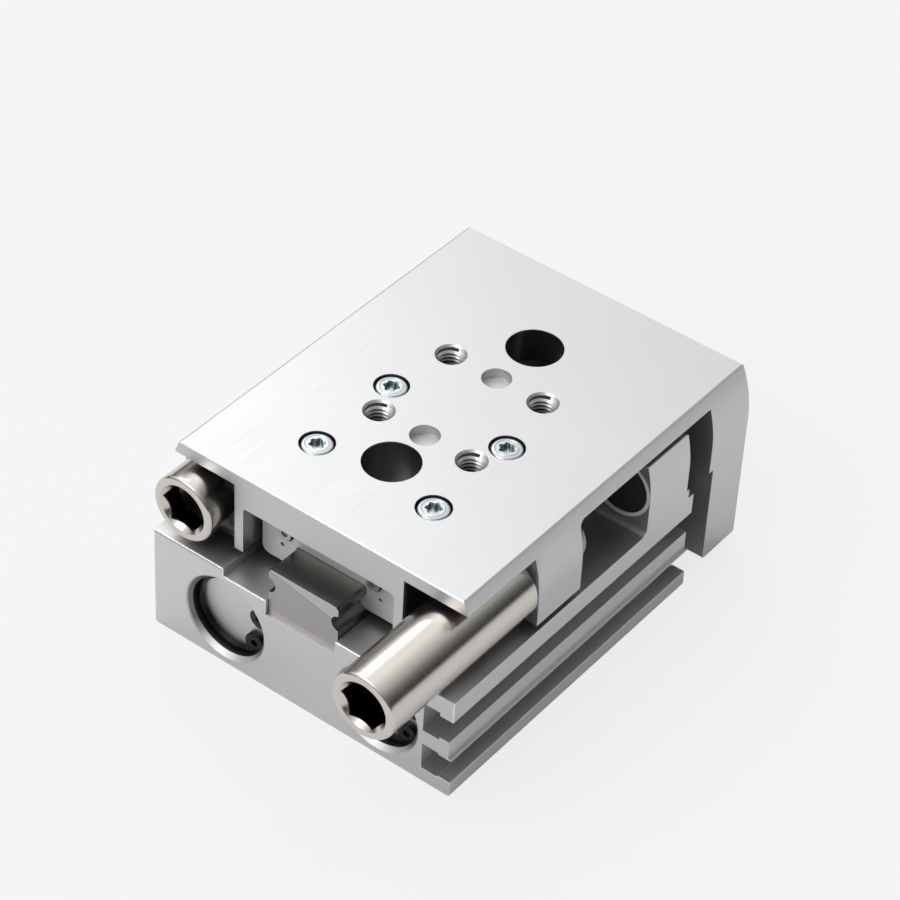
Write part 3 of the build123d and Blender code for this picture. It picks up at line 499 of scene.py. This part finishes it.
FINISHES = {
    "anodised_aluminium": finish("satin_aluminium", **ALUMINIUM),
    "cap_aluminium": finish("turned_aluminium", **CAP_ALUMINIUM),
    "rail_steel": finish("ground_steel", **RAIL_STEEL),
    "nickel_steel": finish("nickel_plate", **NICKEL, streaks=PLATED_STREAKS),
    "zinc_steel": finish("bright_zinc", **ZINC, edge=0.06),
    "dark_steel": finish("black_oxide", **OXIDE),
    "rod_chrome": finish("hard_chrome", **CHROME, edge=0),
    "block_plastic": finish("dark_plastic", **PLASTIC, metallic=0.0),
    "seal_plate": finish("seal_plate", **SEAL, metallic=0.6),
    "seal_rubber": finish("black_rubber", **RUBBER, metallic=0.0),
    "magnet_plastic": finish("bonded_magnet", **MAGNET, metallic=0.0),
    "bush_bronze": finish("sintered_bronze", **BRONZE),
}
slots = {entry["node"]: entry["material_slot"] for entry in frame["record"]["subparts"]}


def put_on(piece, material):
    piece.data.materials.clear()
    piece.data.materials.append(material)


for name in nodes:
    put_on(nodes[name], FINISHES[slots[name]])
print("finishes:", len(FINISHES))

# %% [markdown]
# The small screws of the end seals are sunk into grey plates and only their rims stand out as dark
# arcs, so their heads get the plate's own tone with a dark edge of painted shade, masked round each
# screw's axis.

# %% Seal screws
END_SCREW_Y, END_SCREW_Z = 9.5, 29.4
END_SCREW_RIM, END_SCREW_OUTSIDE = (1.35, 1.5), (3.0, 3.1)
PAINTED_RIM_SHADE = (0.03, 0.03, 0.03)
SMALL_HEAD = dict(dark=(0.30, 0.31, 0.31), light=(0.40, 0.41, 0.41), rough=(0.28, 0.36))


def seal_screw_finish():
    material = finish("seal_screw", **SMALL_HEAD, edge=0.05)
    tree = material.node_tree
    rims = []
    for y in (-END_SCREW_Y, END_SCREW_Y):
        reach, _ = axis_reach(tree, y, END_SCREW_Z)
        rim, outside = step_up(tree, reach, *END_SCREW_RIM), step_down(tree, reach, *END_SCREW_OUTSIDE)
        rims.append(both(tree, rim, outside))
    # Painted shade: a dark ring round each head.
    tint(material, math_node(tree, "MAXIMUM", *rims), PAINTED_RIM_SHADE)
    return material


put_on(nodes["end_cap_screws"], seal_screw_finish())
print("seal screws at y", END_SCREW_Y, "z", END_SCREW_Z)

# %% [markdown]
# The two stop screws are turned from steel and only oiled, so they are darker than the plated sleeves
# round them. The seat ring in the bracket is plated, and its front edge shows as a pale crescent. The
# seal plates get a painted highlight: a pale line along their edges.

# %% Stops
TURNED = (2500, 90, 90)
OILED = dict(dark=(0.24, 0.225, 0.21), light=(0.32, 0.305, 0.285), rough=(0.26, 0.34))
PLATED = dict(dark=(0.80, 0.79, 0.77), light=(0.88, 0.87, 0.85), rough=(0.45, 0.55))
SEAL_GLINT, SEAL_GLINT_COLOUR = 0.3, (0.75, 0.75, 0.73)
oiled_steel = finish("oiled_steel", **OILED, streaks=TURNED)
plated_ring = finish("plated_ring", **PLATED, metallic=0.25)
for name in ("extension_stop_screw", "retraction_stop_screw"):
    put_on(nodes[name], oiled_steel)
put_on(nodes["extension_stop_seat"], plated_ring)
# A painted highlight along the edges of the seal plates.
paint_glint(FINISHES["seal_plate"], SEAL_GLINT, SEAL_GLINT_COLOUR)
print("stop finishes:", oiled_steel.name, plated_ring.name)

# %% [markdown]
# The two lock sleeves are turned, plated and opened by a deep hexagonal socket that no light reaches.
# The inside of each socket is darkened by a mask round the sleeve's own axis.

# %% Lock sleeves
STOP_Y, STOP_Z = 26.3, 29.5
SOCKET_WALL, SOCKET_DARK = (4.72, 4.77), (0.9, 1.3)
SOCKET_BLACK = (0.012, 0.011, 0.011)
SLEEVE_NICKEL = dict(dark=(0.54, 0.51, 0.46), light=(0.61, 0.58, 0.53), rough=(0.18, 0.25))


def sleeve_finish(name, y, front):
    material = finish(name, **SLEEVE_NICKEL, streaks=TURNED, bump=0.02, edge=0.2)
    tree = material.node_tree
    reach, along = axis_reach(tree, y, STOP_Z)
    inside = step_down(tree, reach, *SOCKET_WALL)
    deep = step_up(tree, along, *(front + depth for depth in SOCKET_DARK))
    tint(material, both(tree, inside, deep), SOCKET_BLACK)
    return material


for name, y in (("extension_stop_sleeve", -STOP_Y), ("retraction_stop_sleeve", STOP_Y)):
    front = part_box(name)[0][0] / MM
    put_on(nodes[name], sleeve_finish(name + "_nickel", y, front))
    print(name, "front at", round(front, 2), "mm")

# %% [markdown]
# The rail is ground on its top and sides but sawn off at its ends. The sawn face is lighter than the
# ground ones, and a fine sloping line runs across it where two cuts of the saw met.

# %% Guide rail
RAIL_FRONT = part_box("guide_rail")[0][0] / MM
SAWN_DEPTH = (0.02, 0.06)
SAW_SLOPE = 0.20
SAW_LINE_START, SAW_LINE_END, SAW_LINE_ABOVE = (25.10, 25.16), (25.24, 25.30), (25.20, 25.30)
SAWN_STEEL, SAWN_PALE, SAW_MARK = (0.36, 0.345, 0.335), (0.46, 0.445, 0.43), (0.20, 0.19, 0.18)


def rail_finish():
    material = finish("ground_rail", **RAIL_STEEL)
    tree = material.node_tree
    x, y, z = object_axes(tree)
    end = step_down(tree, x, *(RAIL_FRONT + depth for depth in SAWN_DEPTH))
    tint(material, end, SAWN_STEEL)
    level = math_node(tree, "ADD", z, math_node(tree, "MULTIPLY", y, -SAW_SLOPE))
    above = step_up(tree, level, *SAW_LINE_ABOVE)
    tint(material, both(tree, end, above), SAWN_PALE)
    line = both(tree, step_up(tree, level, *SAW_LINE_START), step_down(tree, level, *SAW_LINE_END))
    tint(material, both(tree, end, line), SAW_MARK)
    return material


put_on(nodes["guide_rail"], rail_finish())
print("rail front at", round(RAIL_FRONT, 2), "mm")

# %% [markdown]
# The bores in the housing are honed and left without anodising. Painted shade greys their mouths, all
# but the bottom, and darkens their walls deeper in, and a mask round each cylinder's axis keeps that
# painted shade off the faces around it. Painted shade also darkens the deck under the table, most of
# all in front of the left bracket. The front edges of the deck have been broken with a wide file cut,
# which catches the light, and a painted highlight makes that a thin white line.

# %% Housing bores
BORE_Y, BORE_Z = 16.7, 10.1
HOUSING_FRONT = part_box("housing")[0][0] / MM
# Distances from the bore's axis, heights over it, and depths behind the front face. Here and below,
# each is the start and end of a soft border in millimetres.
BORE_WALL, MOUTH_WALL = (8.02, 8.1), (8.55, 8.75)
MOUTH_FLOOR = (-7.0, -4.0)
FACE_DEPTH, BORE_DEPTH = (0.01, 0.06), (0.85, 1.0)
MOUTH_SHADE, BORE_SHADE = (0.20, 0.20, 0.20), (0.05, 0.05, 0.052)


def behind_front(borders):
    return [HOUSING_FRONT + depth for depth in borders]


def paint_bore_shade(material, x, z):
    """Paint shade on both bores, grey on their mouths all but the bottom and darker on their walls deeper
    in, but leave the front face round them.
    """
    tree = material.node_tree
    for side in (-BORE_Y, BORE_Y):
        reach, _ = axis_reach(tree, side, BORE_Z)
        near = step_down(tree, reach, *BORE_WALL)
        mouth = step_down(tree, reach, *MOUTH_WALL)
        upper = both(tree, mouth, step_up(tree, z, *(BORE_Z + level for level in MOUTH_FLOOR)))
        tint(material, both(tree, upper, step_up(tree, x, *behind_front(FACE_DEPTH))), MOUTH_SHADE)
        tint(material, both(tree, near, step_up(tree, x, *behind_front(BORE_DEPTH))), BORE_SHADE)


print("housing front at", round(HOUSING_FRONT, 2), "mm")

# %% Housing deck
FLAT_UP, FLAT_AHEAD = 0.9, -0.5
DECK_DEPTH, DECK_LEVEL = (0.5, 9.0), (19.8, 19.9)
BRACKET_LEVEL, BRACKET_SIDE, BRACKET_SHADE = (20.9, 21.9), (16.0, 18.0), (6.0, 14.0)
DECK_SHADE, DECK_DEEP_SHADE, BRACKET_FACE_SHADE = (0.36, 0.36, 0.365), (0.13, 0.13, 0.133), (0.22, 0.22, 0.225)


def paint_deck_shade(material, x, y, z):
    """Paint shade on all that faces up behind the front edge, darker on the deck before the left bracket,
    and on the front faces above the deck on the left.
    """
    tree = material.node_tree
    ahead, _, upward = axes_of(tree, tree.nodes.new("ShaderNodeNewGeometry").outputs["Normal"])
    flat = math_node(tree, "GREATER_THAN", upward, FLAT_UP)
    deck = both(tree, flat, step_up(tree, z, *DECK_LEVEL))
    under = both(tree, deck, step_up(tree, x, *behind_front(DECK_DEPTH)))
    tint(material, under, DECK_SHADE)
    deepest = both(tree, under, step_down(tree, x, *BRACKET_SHADE))
    tint(material, both(tree, deepest, step_up(tree, y, *BRACKET_SIDE)), DECK_DEEP_SHADE)
    face = both(tree, math_node(tree, "LESS_THAN", ahead, FLAT_AHEAD), step_up(tree, z, *BRACKET_LEVEL))
    tint(material, both(tree, face, step_up(tree, y, *BRACKET_SIDE)), BRACKET_FACE_SHADE)


print("deck level at", DECK_LEVEL[1], "mm")

# %% Housing edges
EDGE_DEPTH, EDGE_LEVEL = (0.4, 0.5), (17.0, 18.0)
FLANGE_RIM_START, FLANGE_RIM_END, FLANGE_SIDE = (2.4, 2.6), (3.5, 3.7), (-26.5, -26.0)
PLAIN_ROUNDING, FILED_ROUNDING = 0.12, 0.4
FILED_GLINT, FILED_ROUGH, EDGE_HIGHLIGHT_WHITE = 0.45, 0.25, (1.0, 1.0, 1.0)
FLANGE_GLINT, FLANGE_HIGHLIGHT_WHITE = 0.4, (0.95, 0.95, 0.95)


def paint_edge_highlights(material, x, y, z):
    """Round the front top edges wider and paint a white highlight along them, and paint a pale highlight
    along the upper edge of the lowest flange.
    """
    tree = material.node_tree
    edges = both(tree, step_down(tree, x, *behind_front(EDGE_DEPTH)), step_up(tree, z, *EDGE_LEVEL))
    radius = math_node(tree, "ADD", both(tree, edges, FILED_ROUNDING * MM), PLAIN_ROUNDING * MM)
    tree.links.new(radius, tree.nodes["rounding"].inputs["Radius"])
    roughen(material, paint_glint(material, FILED_GLINT, EDGE_HIGHLIGHT_WHITE, edges), FILED_ROUGH)
    rim = both(tree, step_up(tree, z, *FLANGE_RIM_START), step_down(tree, z, *FLANGE_RIM_END))
    paint_glint(material, FLANGE_GLINT, FLANGE_HIGHLIGHT_WHITE, both(tree, rim, step_down(tree, y, *FLANGE_SIDE)))


print("filed edges:", FILED_ROUNDING, "mm wider than the", PLAIN_ROUNDING, "mm of the others")

# %% Housing finish
HOUSING_ALUMINIUM = dict(dark=(0.57, 0.565, 0.57), light=(0.63, 0.625, 0.63), rough=(0.42, 0.52))


def housing_finish():
    material = finish("housing_aluminium", **HOUSING_ALUMINIUM, bump=0.015)
    x, y, z = object_axes(material.node_tree)
    paint_bore_shade(material, x, z)
    paint_deck_shade(material, x, y, z)
    paint_edge_highlights(material, x, y, z)
    return material


put_on(nodes["housing"], housing_finish())
print("housing finish:", len(nodes["housing"].data.materials[0].node_tree.nodes), "nodes")

# %% [markdown]
# The table is milled from one block. Its screw holes and thread holes are deep and narrow, so hardly
# any light comes back out of them, and a mask round each hole's axis paints shade on the metal there.
# The two shallow dowel holes are the opposite: a painted highlight makes their floors pale. The pockets
# beside the ribs lie in shade under the plate, and that shade is painted on them as a darker tone.

# %% Table holes
TABLE_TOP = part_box("table")[1][2] / MM
ACCESS_X = (19.2, 59.2)
BLOCK_CENTRE, BOLT_X, BOLT_Y = 24.75, 20.0, 25.0
MOUNT_CENTRE, MOUNT_PITCH, PLATE_BOTTOM = 38.2, 20.0, 33.0
HOLE_BORDER, DEPTH_BORDER = 0.04, 0.15
# Each kind of hole has its radius, the depth from which its tone is painted, and that tone: painted
# shade in the deep, clearance and thread holes, painted light on the dowel floors.
HOLE_KINDS = {"deep": (5.25, 0.25, (0.20, 0.197, 0.195)), "clearance": (3.25, 0.1, (0.24, 0.24, 0.24)),
              "thread": (2.56, 1.5, (0.10, 0.097, 0.094)), "bright": (2.6, 1.85, (0.70, 0.70, 0.70))}
# The four corners of a pattern, in shares of its length and width.
CORNERS = [(i, j) for i in (-0.5, 0.5) for j in (-0.5, 0.5)]
holes = [("deep", x, 0.0) for x in ACCESS_X]
holes += [("clearance", BLOCK_CENTRE + i * BOLT_X, j * BOLT_Y) for i, j in CORNERS]
holes += [("thread", MOUNT_CENTRE + i * MOUNT_PITCH, j * MOUNT_PITCH) for i, j in CORNERS]
holes += [("bright", MOUNT_CENTRE + i * MOUNT_PITCH, 0.0) for i in (-0.5, 0.5)]


def hole_masks(tree, x, y, z):
    """One mask for each kind of hole, put together from all holes of that kind."""
    masks = {}
    for kind, hole_x, hole_y in holes:
        radius, depth, _ = HOLE_KINDS[kind]
        across = math_node(tree, "SUBTRACT", x, hole_x * MM)
        aside = math_node(tree, "SUBTRACT", y, hole_y * MM)
        squares = math_node(tree, "ADD", both(tree, across, across), both(tree, aside, aside))
        near = step_down(tree, math_node(tree, "SQRT", squares), radius, radius + HOLE_BORDER)
        deep = step_down(tree, z, TABLE_TOP - depth - DEPTH_BORDER, TABLE_TOP - depth)
        hole = both(tree, near, deep)
        masks[kind] = math_node(tree, "MAXIMUM", masks[kind], hole) if kind in masks else hole
    return masks


print("table top at", round(TABLE_TOP, 2), "mm,", len(holes), "holes")

# %% Table pockets
POCKET_SIDE, POCKET_RIB, POCKET_ROOF = (31.0, 32.4), (17.9, 18.05), (37.32, 37.4)
POCKET_FRONT, POCKET_REAR = (0.3, 1.2), (12.0, 20.0)
POCKET_SHADE = (0.14, 0.14, 0.143)


def pocket_mask(tree, x, y, z):
    """The front part of both pockets under the plate, between the ribs and the table's sides, where shade
    is painted.
    """
    aside = math_node(tree, "ABSOLUTE", y)
    between = both(tree, step_down(tree, aside, *POCKET_SIDE), step_up(tree, aside, *POCKET_RIB))
    under = step_down(tree, z, *POCKET_ROOF)
    behind = both(tree, step_up(tree, x, *POCKET_FRONT), step_down(tree, x, *POCKET_REAR))
    return both(tree, between, both(tree, under, behind))


print("pockets reach from y", POCKET_RIB[1], "to", POCKET_SIDE[0], "mm on both sides")

# %% Table finish
DOWEL_ROUGH = 0.75


def table_finish():
    material = finish("table_aluminium", **ALUMINIUM)
    tree = material.node_tree
    axes = object_axes(tree)
    masks = hole_masks(tree, *axes)
    # Painted shade in the deep, clearance and thread holes, and painted light on the dowel floors.
    for kind, mask in masks.items():
        tint(material, mask, HOLE_KINDS[kind][2])
    roughen(material, masks["bright"], DOWEL_ROUGH)
    # Painted shade in the pockets under the plate.
    tint(material, pocket_mask(tree, *axes), POCKET_SHADE)
    return material


put_on(nodes["table"], table_finish())
print("table finish:", len(nodes["table"].data.materials[0].node_tree.nodes), "nodes")

# %% [markdown]
# Each cylinder is closed by a cap behind a retaining ring: an open steel ring whose two ends carry
# round ears with a hole for the pliers. A disc is the start. Boolean cuts open its middle and its gap,
# then the ears are joined on and drilled. Fingers fitted it, so it sits turned a little in its groove.

# %% Modelling helpers
DISC_CORNERS = 96


def deselect():
    if bpy.context.mode != "OBJECT":
        bpy.ops.object.mode_set(mode="OBJECT")
    bpy.ops.object.select_all(action="DESELECT")


def disc(radius, depth, place=(0, 0, 0), corners=DISC_CORNERS, turn=0.0):
    deselect()
    bpy.ops.mesh.primitive_cylinder_add(
        vertices=corners, radius=radius * MM, depth=depth * MM,
        location=[v * MM for v in place], rotation=(0, 0, turn))
    piece = bpy.context.object
    bpy.ops.object.transform_apply(location=True, rotation=True, scale=True)
    return piece


def combine(piece, other, operation):
    """Join or cut one piece by another, and drop the other."""
    deselect()
    piece.select_set(True)
    bpy.context.view_layer.objects.active = piece
    change = piece.modifiers.new("combine", "BOOLEAN")
    change.operation = operation
    change.solver = "EXACT"
    change.object = other
    bpy.ops.object.modifier_apply(modifier="combine")
    bpy.data.objects.remove(other)


def place_copy(original, place, turn=Matrix.Identity(4)):
    """A copy with its own mesh, whose place and turn are put into the mesh itself."""
    mesh = original.data.copy()
    mesh.transform(Matrix.Translation(Vector(place) * MM) @ turn)
    piece = bpy.data.objects.new(original.name, mesh)
    bpy.context.scene.collection.objects.link(piece)
    return piece


print("discs have", DISC_CORNERS, "corners where nothing else is said")

# %% Retaining ring
RING_OUTER, RING_INNER, RING_THICK = 8.38, 7.1, 1.0
EAR_RADIUS, EAR_HOLE, EAR_TURN = 2.0, 0.7, 29.5
EAR_CORNERS, EAR_HOLE_CORNERS = 40, 24
GAP_WEDGE = 10.0
RING_SOFT_EDGE = 0.08
SMOOTH_UNDER = math.radians(35)


def make_ring():
    """The ring lies flat with its gap towards -X, before it is stood up in its groove."""
    piece = disc(RING_OUTER, RING_THICK)
    combine(piece, disc(RING_INNER, 2 * RING_THICK), "DIFFERENCE")
    # A disc with three corners is a wedge, and the ring's gap is as wide as the wedge is there.
    wedge = disc(GAP_WEDGE, 2 * RING_THICK, (-GAP_WEDGE, 0, 0), corners=3, turn=math.radians(-90))
    combine(piece, wedge, "DIFFERENCE")
    ear_reach = RING_OUTER - EAR_RADIUS
    for side in (-1, 1):
        angle = math.radians(180 + side * EAR_TURN)
        place = (ear_reach * math.cos(angle), ear_reach * math.sin(angle), 0)
        combine(piece, disc(EAR_RADIUS, RING_THICK, place, EAR_CORNERS), "UNION")
        combine(piece, disc(EAR_HOLE, 2 * RING_THICK, place, EAR_HOLE_CORNERS), "DIFFERENCE")
    soften = piece.modifiers.new("soften", "BEVEL")
    soften.width = RING_SOFT_EDGE * MM
    soften.segments = 2
    soften.limit_method = "ANGLE"
    bpy.ops.object.modifier_apply(modifier="soften")
    bpy.ops.object.shade_smooth_by_angle(angle=SMOOTH_UNDER)
    return piece


flat_ring = make_ring()
print("ring faces:", len(flat_ring.data.polygons))

# %% Place the rings
RING_TURN = 9.5
# Axis Z of the flat ring goes to X, its X to Y and its Y to Z.
STAND_UP = Matrix(((0, 0, 1, 0), (1, 0, 0, 0), (0, 1, 0, 0), (0, 0, 0, 1)))
for side, y in (("left", BORE_Y), ("right", -BORE_Y)):
    node = "retaining_ring_" + side
    front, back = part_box(node)[0][0] / MM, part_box(node)[1][0] / MM
    turn = STAND_UP @ Matrix.Rotation(math.radians(RING_TURN), 4, "Z")
    piece = place_copy(flat_ring, ((front + back) / 2, y, BORE_Z), turn)
    piece.name = "circlip_" + side
    put_on(piece, FINISHES["dark_steel"])
    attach(piece, "housing")
    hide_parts(node)
    print(piece.name, len(piece.data.polygons), "faces")
bpy.data.objects.remove(flat_ring)

# %% [markdown]
# Four screws hold the table on the guide block. Each has a low rounded head with a six-lobed recess,
# which is far too fine for the solids. One screw is modelled here and then copied. The head
# starts as a cylinder whose top edge is bevelled, and insets cut a shallow turned groove round its flat
# top. The recess is a cutter with six lobes, made by pulling in the points between the lobes step by
# step, and taken away by a Boolean modifier.

# %% Lobe cutter
LOBE_RADIUS, LOBE_DEPTH, CUTTER_RISE = 1.55, 1.0, 1.0
LOBE_ANGLE, LOBE_STEP, LOBE_CORNERS = 60, 7.5, 48
LOBE_PULL = (1.0, 0.97, 0.88, 0.79, 0.76)


def pick(piece, mode, test):
    """Select the faces, edges or points of one piece whose test is true, and stay in edit mode."""
    bpy.ops.object.mode_set(mode="EDIT")
    bpy.ops.mesh.select_mode(type=mode)
    bpy.ops.mesh.select_all(action="DESELECT")
    bpy.ops.object.mode_set(mode="OBJECT")
    mesh = piece.data
    items = {"FACE": mesh.polygons, "EDGE": mesh.edges, "VERT": mesh.vertices}[mode]
    for item in items:
        item.select = test(item)
    bpy.ops.object.mode_set(mode="EDIT")


def off_lobe(point):
    """How many degrees a point lies beside the middle of the nearest lobe."""
    turn = math.degrees(math.atan2(point.co.y, point.co.x)) % LOBE_ANGLE
    return min(turn, LOBE_ANGLE - turn)


def lobe_cutter(top):
    """The cutter reaches the recess's depth below the head's top, and rises a little out of it."""
    depth = LOBE_DEPTH + CUTTER_RISE
    cutter = disc(LOBE_RADIUS, depth, (0, 0, top + CUTTER_RISE - depth / 2), LOBE_CORNERS)
    for number, pull in enumerate(LOBE_PULL):
        pick(cutter, "VERT", lambda point: abs(off_lobe(point) - LOBE_STEP * number) < 1)
        bpy.ops.transform.resize(value=(pull, pull, 1), center_override=(0, 0, 0))
        bpy.ops.object.mode_set(mode="OBJECT")
    return cutter


print("lobes: one every", LOBE_ANGLE, "degrees, pulled in", len(LOBE_PULL), "steps")

# %% Six-lobe screw
HEAD_RADIUS, HEAD_HEIGHT, SHANK_RADIUS, SHANK_LENGTH = 2.92, 2.4, 1.5, 8.0
HEAD_BEVEL, BEVEL_STEPS, HEAD_CORNERS = 0.55, 4, 64
# Each inset of the flat top is its width and its rise.
GROOVE_INSETS = ((0.15, 0.0), (0.10, -0.08), (0.10, 0.0), (0.10, 0.08))
FACING_UP = 0.9
FLAT_TOP_AREA = 5 * MM * MM
UNDERSIDE_LEVEL = 0.01 * MM


def make_screw():
    head = disc(HEAD_RADIUS, HEAD_HEIGHT, (0, 0, HEAD_HEIGHT / 2), HEAD_CORNERS)
    pick(head, "FACE", lambda face: face.normal.z > FACING_UP)
    bpy.ops.mesh.bevel(offset=HEAD_BEVEL * MM, segments=BEVEL_STEPS)
    bpy.ops.object.mode_set(mode="OBJECT")
    pick(head, "FACE", lambda face: face.normal.z > FACING_UP and face.area > FLAT_TOP_AREA)
    for width, rise in GROOVE_INSETS:
        bpy.ops.mesh.inset(thickness=width * MM, depth=rise * MM)
    bpy.ops.object.mode_set(mode="OBJECT")
    pick(head, "FACE", lambda face: face.center.z < UNDERSIDE_LEVEL)
    bpy.ops.mesh.inset(thickness=(HEAD_RADIUS - SHANK_RADIUS) * MM, depth=0)
    bpy.ops.mesh.extrude_region_move(TRANSFORM_OT_translate={"value": (0, 0, -SHANK_LENGTH * MM)})
    bpy.ops.object.mode_set(mode="OBJECT")
    combine(head, lobe_cutter(HEAD_HEIGHT), "DIFFERENCE")
    bpy.ops.object.shade_smooth_by_angle(angle=SMOOTH_UNDER)
    return head


screw = make_screw()
print("screw faces:", len(screw.data.polygons))

# %% [markdown]
# Each copy is turned a little differently, as screws end up when they are tightened by torque, and the
# four are then joined into one piece. Painted shade darkens the recess, more on its walls than on its
# floor.

# %% Place the screws
SCREW_TURN, SCREW_SUNK = 17, 0.1
RECESS_DARK, RECESS_FLOOR = (-0.9, -0.35), (0.02, 0.12)
RECESS_WALL_SHADE, RECESS_FLOOR_SHADE = (0.09, 0.13, 0.14), (0.36, 0.41, 0.42)
HEAD_ZINC = dict(dark=(0.42, 0.45, 0.455), light=(0.50, 0.53, 0.535), rough=(0.22, 0.30))


def join(pieces, name):
    deselect()
    for piece in pieces:
        piece.select_set(True)
    bpy.context.view_layer.objects.active = pieces[0]
    bpy.ops.object.join()
    pieces[0].name = name
    return pieces[0]


def screw_finish():
    material = finish("screw_zinc", **HEAD_ZINC, edge=0.08)
    tree = material.node_tree
    z = object_axes(tree)[2]
    # Painted shade in the recess: darkest on its walls, lighter on its floor.
    low = step_down(tree, z, *(TABLE_TOP + level for level in RECESS_DARK))
    tint(material, low, RECESS_WALL_SHADE)
    floor_level = TABLE_TOP - SCREW_SUNK - LOBE_DEPTH
    near_floor = step_down(tree, z, *(floor_level + level for level in RECESS_FLOOR))
    tint(material, near_floor, RECESS_FLOOR_SHADE)
    return material


screw_seat = TABLE_TOP - SCREW_SUNK - HEAD_HEIGHT
copies = []
for number, (i, j) in enumerate(CORNERS):
    turn = Matrix.Rotation(math.radians(SCREW_TURN * number), 4, "Z")
    copies.append(place_copy(screw, (BLOCK_CENTRE + i * BOLT_X, j * BOLT_Y, screw_seat), turn))
block_screws = join(copies, "table_screws")
bpy.data.objects.remove(screw)
put_on(block_screws, screw_finish())
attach(block_screws, "table")
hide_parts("block_screws")
print("screws:", len(block_screws.data.polygons), "faces")

# %% [markdown]
# The mounting holes are threaded. A thread is a ridge that climbs round the wall of its hole, so it is
# made as one: a small triangle is drawn at the wall and the Screw modifier winds it up the hole. Its
# outer side lies a little inside the metal, so no gap can show between ridge and wall.

# %% Thread turns
THREAD_RADIUS, THREAD_DEPTH, THREAD_PITCH = 2.5, 0.43, 0.8
THREAD_BITE, THREAD_FOOT = 0.04, 0.88
THREAD_STEPS = 32
THREAD_SMOOTH_UNDER = math.radians(30)
TRIANGLE_HEIGHT = 1.5
WELD = 0.0001


def make_thread(turns):
    """A helical ridge that climbs from z = 0 along Z, for a hole of the thread's radius."""
    wall, crest = THREAD_RADIUS + THREAD_BITE, THREAD_RADIUS - THREAD_DEPTH
    foot = THREAD_PITCH * THREAD_FOOT
    # A three-sided circle is a triangle, 1.5 times as high as its radius. It is stood up with one
    # corner towards the axis of the hole.
    radius = (wall - crest) / TRIANGLE_HEIGHT
    centre = ((wall - radius / 2) * MM, 0, foot / 2 * MM)
    deselect()
    bpy.ops.mesh.primitive_circle_add(
        vertices=3, radius=radius * MM, fill_type="NOTHING",
        location=centre, rotation=(math.radians(90), math.radians(-90), 0))
    ridge = bpy.context.object
    bpy.ops.object.transform_apply(location=True, rotation=True, scale=True)
    pick(ridge, "VERT", lambda point: True)
    bpy.ops.transform.resize(value=(1, 1, foot / (math.sqrt(3) * radius)), center_override=centre)
    bpy.ops.object.mode_set(mode="OBJECT")
    wind = ridge.modifiers.new("wind", "SCREW")
    wind.axis = "Z"
    wind.screw_offset = THREAD_PITCH * MM
    wind.iterations = turns
    wind.steps = THREAD_STEPS
    wind.render_steps = THREAD_STEPS
    wind.use_normal_calculate = True
    bpy.ops.object.modifier_apply(modifier="wind")
    bpy.ops.object.mode_set(mode="EDIT")
    bpy.ops.mesh.select_all(action="SELECT")
    bpy.ops.mesh.remove_doubles(threshold=WELD * MM)
    bpy.ops.mesh.fill_holes(sides=3)
    bpy.ops.mesh.select_all(action="SELECT")
    bpy.ops.mesh.normals_make_consistent(inside=False)
    bpy.ops.object.mode_set(mode="OBJECT")
    bpy.ops.object.shade_smooth_by_angle(angle=THREAD_SMOOTH_UNDER)
    return ridge


print("thread:", THREAD_RADIUS * 2, "by", THREAD_PITCH, "mm")

# %% [markdown]
# The same ridge serves the table, the yoke's outer face and the air ports in the housing's left side.
# Each group of holes gets as many turns as it is deep, stood along its own axis. The cut metal darkens
# from the mouth of the hole inwards, since little light reaches the lower turns.

# %% Place the threads
THREAD_DARK, THREAD_SHADE = (0.8, 3.4), (0.07, 0.066, 0.063)
CUT_METAL = dict(dark=(0.46, 0.45, 0.44), light=(0.60, 0.59, 0.58), rough=(0.18, 0.26))
TOP_TURNS, YOKE_TURNS, PORT_TURNS = 7, 8, 5
TOP_LIFT, YOKE_INSET, PORT_INSET = 0.3, 7.6, 4.9
YOKE_Y, YOKE_Z, PORT_X = (-9.0, 9.0), (14.0, 34.0), (5.0, 47.5)
YOKE_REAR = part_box("table")[1][0] / MM
HOUSING_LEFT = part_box("housing")[1][1] / MM


def thread_finish(name, along, mouth):
    material = finish(name, **CUT_METAL, edge=0)
    tree = material.node_tree
    place = dict(zip("XYZ", object_axes(tree)))[along]
    depth = math_node(tree, "MULTIPLY", math_node(tree, "SUBTRACT", place, mouth * MM), -1)
    tint(material, step_up(tree, depth, *THREAD_DARK), THREAD_SHADE)
    return material


def thread_piece(name, turns, places, turn, body, material):
    thread = make_thread(turns)
    piece = join([place_copy(thread, place, turn) for place in places], name)
    bpy.data.objects.remove(thread)
    put_on(piece, material)
    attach(piece, body)
    print(name, len(piece.data.polygons), "faces")


top_foot = PLATE_BOTTOM + TOP_LIFT
top_places = [(MOUNT_CENTRE + i * MOUNT_PITCH, j * MOUNT_PITCH, top_foot) for i, j in CORNERS]
yoke_places = [(YOKE_REAR - YOKE_INSET, y, z) for y in YOKE_Y for z in YOKE_Z]
port_places = [(x, HOUSING_LEFT - PORT_INSET, BORE_Z) for x in PORT_X]
lie_along_x = Matrix.Rotation(math.radians(90), 4, "Y")
lie_along_y = Matrix.Rotation(math.radians(-90), 4, "X")
thread_piece("table_threads", TOP_TURNS, top_places, Matrix.Identity(4), "table",
             thread_finish("top_thread", "Z", TABLE_TOP))
thread_piece("yoke_threads", YOKE_TURNS, yoke_places, lie_along_x, "table",
             thread_finish("yoke_thread", "X", YOKE_REAR))
thread_piece("port_threads", PORT_TURNS, port_places, lie_along_y, "housing",
             thread_finish("port_thread", "Y", HOUSING_LEFT))
